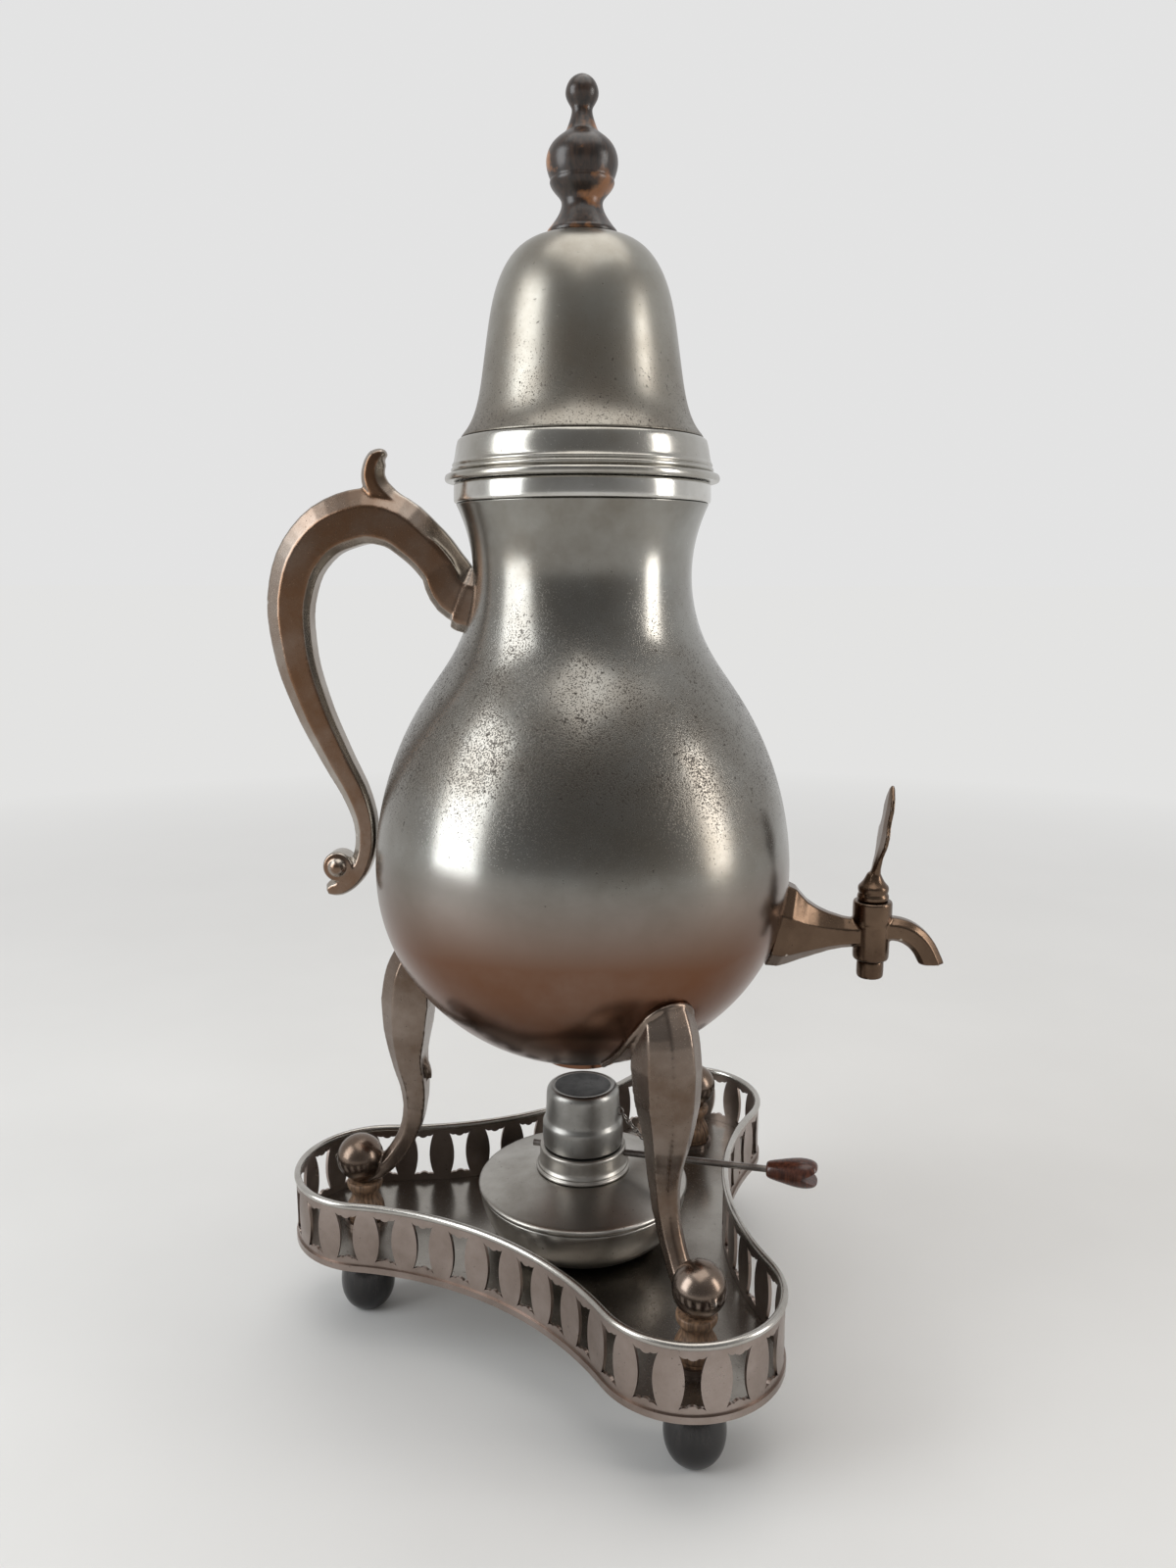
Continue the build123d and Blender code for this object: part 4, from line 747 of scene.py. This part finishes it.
# The tap's worn edge colour is partly wear and partly a painted highlight.
tap_pewter = pewter(
    "tap_pewter", (0.15, 0.1, 0.068, 1), (0.08, 0.05, 0.033, 1), 0.24, 40.0, 0.3, worn=(0.48, 0.43, 0.37, 1)
)
fit(tap, tap_pewter, "urn", "pewter_tap", "tap_flange", "tap_body")
tail = turned(
    "plug_nut", [(3.6, 142), (4.4, 142.1), (4.8, 142.7), (4.9, 144), (4.9, 148.2), (4.6, 148.7)],
    (tap_reach, 0), around=32,
)
fit(tail, tap_pewter, "tap", "pewter_tap", "tap_tail")
plug_turning = turned(
    "plug_turning",
    [
        (3.6, 147.9), (3.7, 148.4), (4.3, 169.8), (4.4, 171.05), (5.4, 171.1), (5.7, 171.5), (5.7, 173.1),
        (5.3, 173.5), (5.1, 173.9), (5.5, 174.4), (5.6, 176), (5.3, 176.5), (4.2, 177.6), (3.3, 179),
        (2.6, 180.6), (2.2, 181.4),
    ],
    (tap_reach, 0), around=40,
)
leaf_key = bent_bar(
    "leaf_key",
    [
        (105.7, 178.4, 4.6, 4.8), (106.2, 182.6, 3.2, 5), (107, 187.6, 2.6, 9), (107.8, 192.4, 2.6, 16.4),
        (108.4, 196.4, 2.6, 17.6), (108.8, 199, 2.6, 13.6), (109.2, 201.6, 2.6, 12.6),
        (109.7, 205.4, 2.6, 14.2), (110.2, 209, 2.4, 10.6), (110.6, 212, 1.8, 4), (110.8, 213.2, 0.8, 1.4),
    ],
    turn=0, outer_edge=30, inner_edge=30,
)
plug = cast("plug_head", [plug_turning, leaf_key], 0.35)
fit(plug, tap_pewter, "tap", "pewter_tap", "tap_plug", "tap_key")

# Lid rim
# A cast and turned ring: a lip that overhangs the collar, two beads and a sloping band up to the step.
# It sits loose on the collar and is polished by handling.
rim_pewter = pewter("rim_pewter", (0.46, 0.45, 0.42, 1), (0.29, 0.265, 0.225, 1), 0.2, 22.0, 0.3)
rim_low, rim_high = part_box("lid_rim")
lip, rim_foot, rim_top = rim_high.x / mm, rim_low.z / mm, rim_high.z / mm
rim_bore, step_bore = 38.8, 40.2
lid_rim = turned(
    "lid_band",
    [
        (rim_bore, rim_foot + 0.05), (lip - 0.9, rim_foot + 0.05), (lip - 0.3, rim_foot + 0.3),
        (lip, rim_foot + 1.3), (lip - 0.3, rim_foot + 2.4), (lip - 0.9, rim_foot + 2.8),
        (lip - 3.0, rim_foot + 2.95), (lip - 3.1, rim_foot + 3.1), (lip - 2.4, rim_foot + 3.5),
        (lip - 2.2, rim_foot + 4.2), (lip - 2.5, rim_foot + 4.8), (lip - 3.2, rim_foot + 5.05),
        (lip - 2.7, rim_foot + 5.4), (lip - 2.6, rim_foot + 6.0), (lip - 3.2, rim_foot + 6.6),
        (lip - 3.6, rim_foot + 8.5), (lip - 4.1, rim_foot + 11.5), (lip - 4.6, rim_top - 0.9),
        (lip - 5.1, rim_top - 0.1), (step_bore, rim_top), (rim_bore, rim_top - 4),
    ],
    around=64, ring=True,
)
fit(lid_rim, rim_pewter, "lid", "pewter_lid", "lid_rim")

# Lid dome
# The bell of the lid, spun from sheet and soldered to the rim's step. Its foot flares out and is pitted,
# and a hole in its crown takes the finial's screw.
lid_pewter = pewter(
    "lid_pewter", (0.36, 0.35, 0.315, 1), (0.21, 0.185, 0.15, 1), 0.3, 18.0, 0.8, (0.31, 0.32, 0.336, 0.4)
)
dome_low, dome_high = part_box("lid_dome")
dome_foot, crown = dome_low.z / mm, dome_high.z / mm
dome_wall, crown_hole = 1.6, 3.0
dome_rings = [
    (dome_high.x / mm, dome_foot), (41.2, dome_foot + 1.2), (38.9, dome_foot + 4), (36.6, dome_foot + 9),
    (34.9, dome_foot + 16), (33.6, dome_foot + 25), (32.2, dome_foot + 35), (30.6, dome_foot + 44.5),
    (27.9, dome_foot + 53), (23.3, dome_foot + 60.4), (17.3, crown - 1.2), (11.5, crown), (crown_hole, crown),
]
dome_inside = [(radius - dome_wall, level - dome_wall) for radius, level in dome_rings[-2:0:-1]]
dome = turned(
    "lid_bell", dome_rings + [(crown_hole, crown - dome_wall)] + dome_inside + [(step_bore, dome_foot)],
    around=64, ring=True,
)
fit(dome, lid_pewter, "lid", "pewter_lid", "lid_dome")

# Lid bezel
# A thin pewter ring soldered under the lid's rim. It drops into the mouth, with a little play, and keeps
# the lid in its place.
dress("lid_bezel", lid_pewter)

# Finial
# Turned wood: a spreading foot, a full bulb with a groove, and a small knob on a thin neck. It is stained
# black and worn through to brown, and a screw from inside the lid holds it.
finial_wood = wood(
    "finial_wood", (0.04, 0.022, 0.014, 1), (0.012, 0.008, 0.006, 1), 0.3, worn=(0.24, 0.1, 0.035, 1)
)
finial_low, finial_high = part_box("finial")
finial_foot, finial_top = finial_low.z / mm, finial_high.z / mm
finial_outline = [
    (11.6, 0.02), (12.0, 0.2), (12.0, 1.5), (11.0, 2.4), (9.0, 5.0), (7.4, 7.6), (6.6, 10.4), (7.6, 12.4),
    (9.9, 14.6), (11.1, 16.8), (10.5, 17.6), (10.9, 18.3), (12.1, 21.6), (12.0, 25.0), (10.4, 28.6),
    (7.4, 31.0), (5.6, 32.2), (5.0, 33.4), (3.8, 36.6), (3.2, 39.2), (4.0, 40.6), (5.5, 42.8), (5.6, 45.2),
    (4.2, 48.4),
]
finial_rings = [(radius, finial_foot + rise) for radius, rise in finial_outline]
finial = turned("turned_finial", finial_rings + [(1.2, finial_top)], around=40)
fit(finial, finial_wood, "lid", "finial_wood", "finial")

# Finial screw
# A washer under the lid's crown and the screw that draws the finial down on it. Both are hidden inside
# the lid.
for name in ("finial_screw", "finial_washer"):
    dress(name, leg_pewter)

# Burner bowl
# The spirit reservoir, spun from sheet: a flat foot, a round bilge and straight sides up to the seam.
# It stands loose on the tray.
burner_pewter = pewter("burner_pewter", (0.46, 0.44, 0.41, 1), (0.3, 0.28, 0.25, 1), 0.3, 30.0, 0.3)
bowl_low, bowl_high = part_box("burner_bowl")
bowl_foot, bowl_rim, bowl_radius = bowl_low.z / mm, bowl_high.z / mm, bowl_high.x / mm
bowl_rings = [
    (2.0, bowl_foot + 0.02), (24.2, bowl_foot + 0.02), (25.4, bowl_foot + 0.15), (29.6, bowl_foot + 1.6),
    (33.8, bowl_foot + 4.4), (36.6, bowl_foot + 8.2), (38.4, bowl_foot + 13), (39.3, bowl_foot + 17),
    (bowl_radius, bowl_rim),
]
bowl_inside = [(radius - 1, level + 0.9) for radius, level in bowl_rings[-2:0:-1]]
bowl_edge, bowl_bottom = [(bowl_radius - 1, bowl_rim)], [(2.0, bowl_foot + 1)]
bowl = turned("spirit_bowl", bowl_rings + bowl_edge + bowl_inside + bowl_bottom, around=56)
fit(bowl, burner_pewter, "burner", "pewter_burner", "burner_bowl")

# Burner top
# A shallow cone with a rolled edge, spun from sheet and soldered over the bowl.
top_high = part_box("burner_top")[1]
bead_radius, cone_top, cone_bore = top_high.x / mm, top_high.z / mm, 13.9
cone = turned(
    "burner_cone",
    [
        (bead_radius - 1.7, bowl_rim + 0.1), (bead_radius - 0.5, bowl_rim + 0.2),
        (bead_radius, bowl_rim + 1.2), (bead_radius - 0.5, bowl_rim + 2.2),
        (bead_radius - 1.6, bowl_rim + 2.6), (bead_radius - 3.2, bowl_rim + 2.9),
        (30.5, bowl_rim + 4.3), (24.5, bowl_rim + 5.6),
        (19.5, cone_top - 0.4), (17.8, cone_top), (cone_bore, cone_top), (cone_bore, cone_top - 1),
        (24.5, bowl_rim + 4.6), (32.5, bowl_rim + 2.6), (bead_radius - 3.4, bowl_rim + 0.6),
    ],
    around=56, ring=True,
)
fit(cone, burner_pewter, "burner", "pewter_burner", "burner_top")

# Burner collar
# A turned pewter collar with a beaded flange, pressed into the cone. It carries the wick tube, and the
# rod goes through it.
neck_foot, neck_top = cone_top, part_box("burner_collar")[1].z / mm
burner_neck = turned(
    "burner_neck",
    [
        (12.7, neck_foot - 4.9), (13.6, neck_foot - 4.9), (13.7, neck_foot + 0.05), (17.7, neck_foot + 0.05),
        (18.1, neck_foot + 0.5), (17.9, neck_foot + 1.2), (17.2, neck_foot + 1.6), (17.5, neck_foot + 2.1),
        (17.0, neck_foot + 2.7), (16.7, neck_foot + 3.2), (16.5, neck_foot + 4.6), (16.5, neck_top - 0.6),
        (16.2, neck_top - 0.05), (8.2, neck_top - 0.05), (8.2, neck_top - 1), (15.2, neck_top - 1.2),
        (15.2, neck_foot + 3.4), (12.8, neck_foot + 1),
    ],
    around=48, ring=True,
)
fit(burner_neck, burner_pewter, "burner", "pewter_burner", "burner_collar")

# Wick tube and wick
# A flanged tube through the collar's top, and a thick cotton wick that stands out of it. The wick's
# fibres run upright, as a turned piece's grain does.
dress("wick_tube", burner_pewter)
wick_cotton = wood("wick_cotton", (0.7, 0.64, 0.52, 1), (0.5, 0.44, 0.34, 1), 0.9)
dress("wick", wick_cotton)

# Snuffer cap
# A spun cap with a stepped skirt, a rounded shoulder and a thin disc let into its top. It stands loose on
# the collar, over the wick.
cap_pewter = pewter("cap_pewter", (0.33, 0.325, 0.31, 1), (0.2, 0.19, 0.175, 1), 0.32, 40.0, 0.3)
cap_low, cap_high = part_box("burner_cap")
cap_foot, cap_top = cap_low.z / mm, cap_high.z / mm
cap_outside = [
    (1.5, cap_top - 0.5), (11.3, cap_top - 0.45), (11.5, cap_top - 0.1), (11.9, cap_top),
    (12.9, cap_top - 0.4), (13.7, cap_top - 1.6), (13.9, cap_top - 3.2), (14.15, cap_foot + 11.6),
    (14.5, cap_foot + 10.6), (15.2, cap_foot + 9.6), (15.4, cap_foot + 8.4), (15.4, cap_foot + 0.05),
]
cap_inside = [
    (14.4, cap_foot + 0.05), (14.3, cap_foot + 9), (13.1, cap_foot + 12), (12.9, cap_top - 4),
    (12.2, cap_top - 2.4), (11.2, cap_top - 1.5), (1.5, cap_top - 1.5),
]
cap = turned("snuffer", cap_outside + cap_inside, around=48)
fit(cap, cap_pewter, "cap", "pewter_burner", "burner_cap")
# The disc is a much darker grey than the cap.
dark_disc = pewter("dark_disc", (0.13, 0.13, 0.13, 1), (0.06, 0.06, 0.06, 1), 0.42, 60.0, 0.4)
disc = turned(
    "cap_disc", [(1.2, cap_top - 0.3), (10.9, cap_top - 0.3), (11.2, cap_top - 0.4), (11.2, cap_top - 0.5)],
    around=48,
)
fit(disc, dark_disc, "cap", "pewter_burner")

# Rod and knob
# A thin iron rod through the burner's collar with a turned wooden knob, to move the hot burner by. The
# knob's end is cut in a notch, like a tulip.
iron = pewter("iron", (0.3, 0.28, 0.26, 1), (0.12, 0.1, 0.09, 1), 0.35, 90.0, 0.5)
dress("burner_rod", iron)
knob_wood = wood("knob_wood", (0.1, 0.032, 0.018, 1), (0.035, 0.012, 0.008, 1), 0.25)
rod_level, rod_turn = 70.0, radians(-9)
knob_start, knob_end = 70.0, 89.0
knob = turned(
    "tulip_knob",
    [
        (2.0, knob_start + 0.05), (2.9, knob_start + 0.4), (3.5, knob_start + 2.2), (4.2, knob_start + 5.5),
        (5.0, knob_start + 9.0), (5.5, knob_start + 12.6), (5.4, knob_start + 15.4), (4.7, knob_end - 1),
        (3.4, knob_end - 0.1),
    ],
    around=32,
)
notch_radius, notch_length, notch_middle = 4.2, 16, knob_end + 0.4
notch_narrow, notch_deep = 0.72, 1.5
bpy.ops.object.select_all(action="DESELECT")
bpy.ops.mesh.primitive_cylinder_add(
    vertices=4, radius=notch_radius * mm, depth=notch_length * mm, location=(0, 0, notch_middle * mm),
    rotation=(pi / 2, 0, 0),
)
notch = bpy.context.object
bpy.ops.object.mode_set(mode="EDIT")
bpy.ops.transform.resize(value=(notch_narrow, 1, notch_deep), center_override=tuple(notch.location))
bpy.ops.object.mode_set(mode="OBJECT")
cut_away(knob, notch)
knob.rotation_euler = (0, pi / 2, rod_turn)
knob.location = (knob_start * cos(rod_turn) * mm, knob_start * sin(rod_turn) * mm, rod_level * mm)
fit(knob, knob_wood, "burner", "knob_wood", "rod_knob")

# Chain
# A fine chain that ties the cap to the burner: oval iron links, every other one turned a quarter,
# from the eye on the cap's side to the ring that slides on the rod.
for name in ("rod_ring", "cap_eye"):
    dress(name, iron)
eye_low, eye_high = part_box("cap_eye")
ring_low, ring_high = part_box("rod_ring")
hook_in, hook_up = 0.2 * mm, 0.5 * mm
eye = Vector((eye_high.x - hook_in, (eye_low.y + eye_high.y) / 2, eye_low.z + hook_up))
ring = Vector(((ring_low.x + ring_high.x) / 2, (ring_low.y + ring_high.y) / 2, ring_high.z))
link_count, sag = 12, 2.2 * mm
link_radius, link_wire, link_long = 0.85, 0.27, 1.32
links = []
for index in range(link_count):
    share = (index + 0.5) / link_count
    place = eye.lerp(ring, share)
    place.z -= sag * 4 * share * (1 - share)
    slope = (ring - eye) - Vector((0, 0, 4 * sag * (1 - 2 * share)))
    bpy.ops.object.select_all(action="DESELECT")
    bpy.ops.mesh.primitive_torus_add(
        major_radius=link_radius * mm, minor_radius=link_wire * mm, major_segments=14, minor_segments=6,
    )
    link = bpy.context.object
    link.scale = (link_long, 1, 1)
    bpy.ops.object.transform_apply(location=False, rotation=False, scale=True)
    link.rotation_euler = (pi / 2 * (index % 2), 0, 0)
    bpy.ops.object.transform_apply(location=False, rotation=True, scale=False)
    link.rotation_euler = slope.to_track_quat("X", "Z").to_euler()
    link.location = place
    bpy.ops.object.transform_apply(location=True, rotation=True, scale=False)
    links.append(link)
for link in links:
    link.select_set(True)
bpy.ops.object.join()
chain = bpy.context.object
chain.name = chain.data.name = "curb_chain"
bpy.ops.object.shade_smooth()
dress(chain, iron)
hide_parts("cap_chain")
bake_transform(chain)

# Foot studs
# Hidden steel studs, fixed under the tray's floor, one in each lobe. They stand in the wooden feet and
# hold them.
steel = pewter("steel", (0.4, 0.39, 0.38, 1), (0.25, 0.24, 0.23, 1), 0.35, 60.0)
dress("foot_studs", steel)

# Spool pins
# Hidden steel pins between the spools and the leg balls, half in each. They hold the spools under the
# legs.
dress("spool_pins", steel)
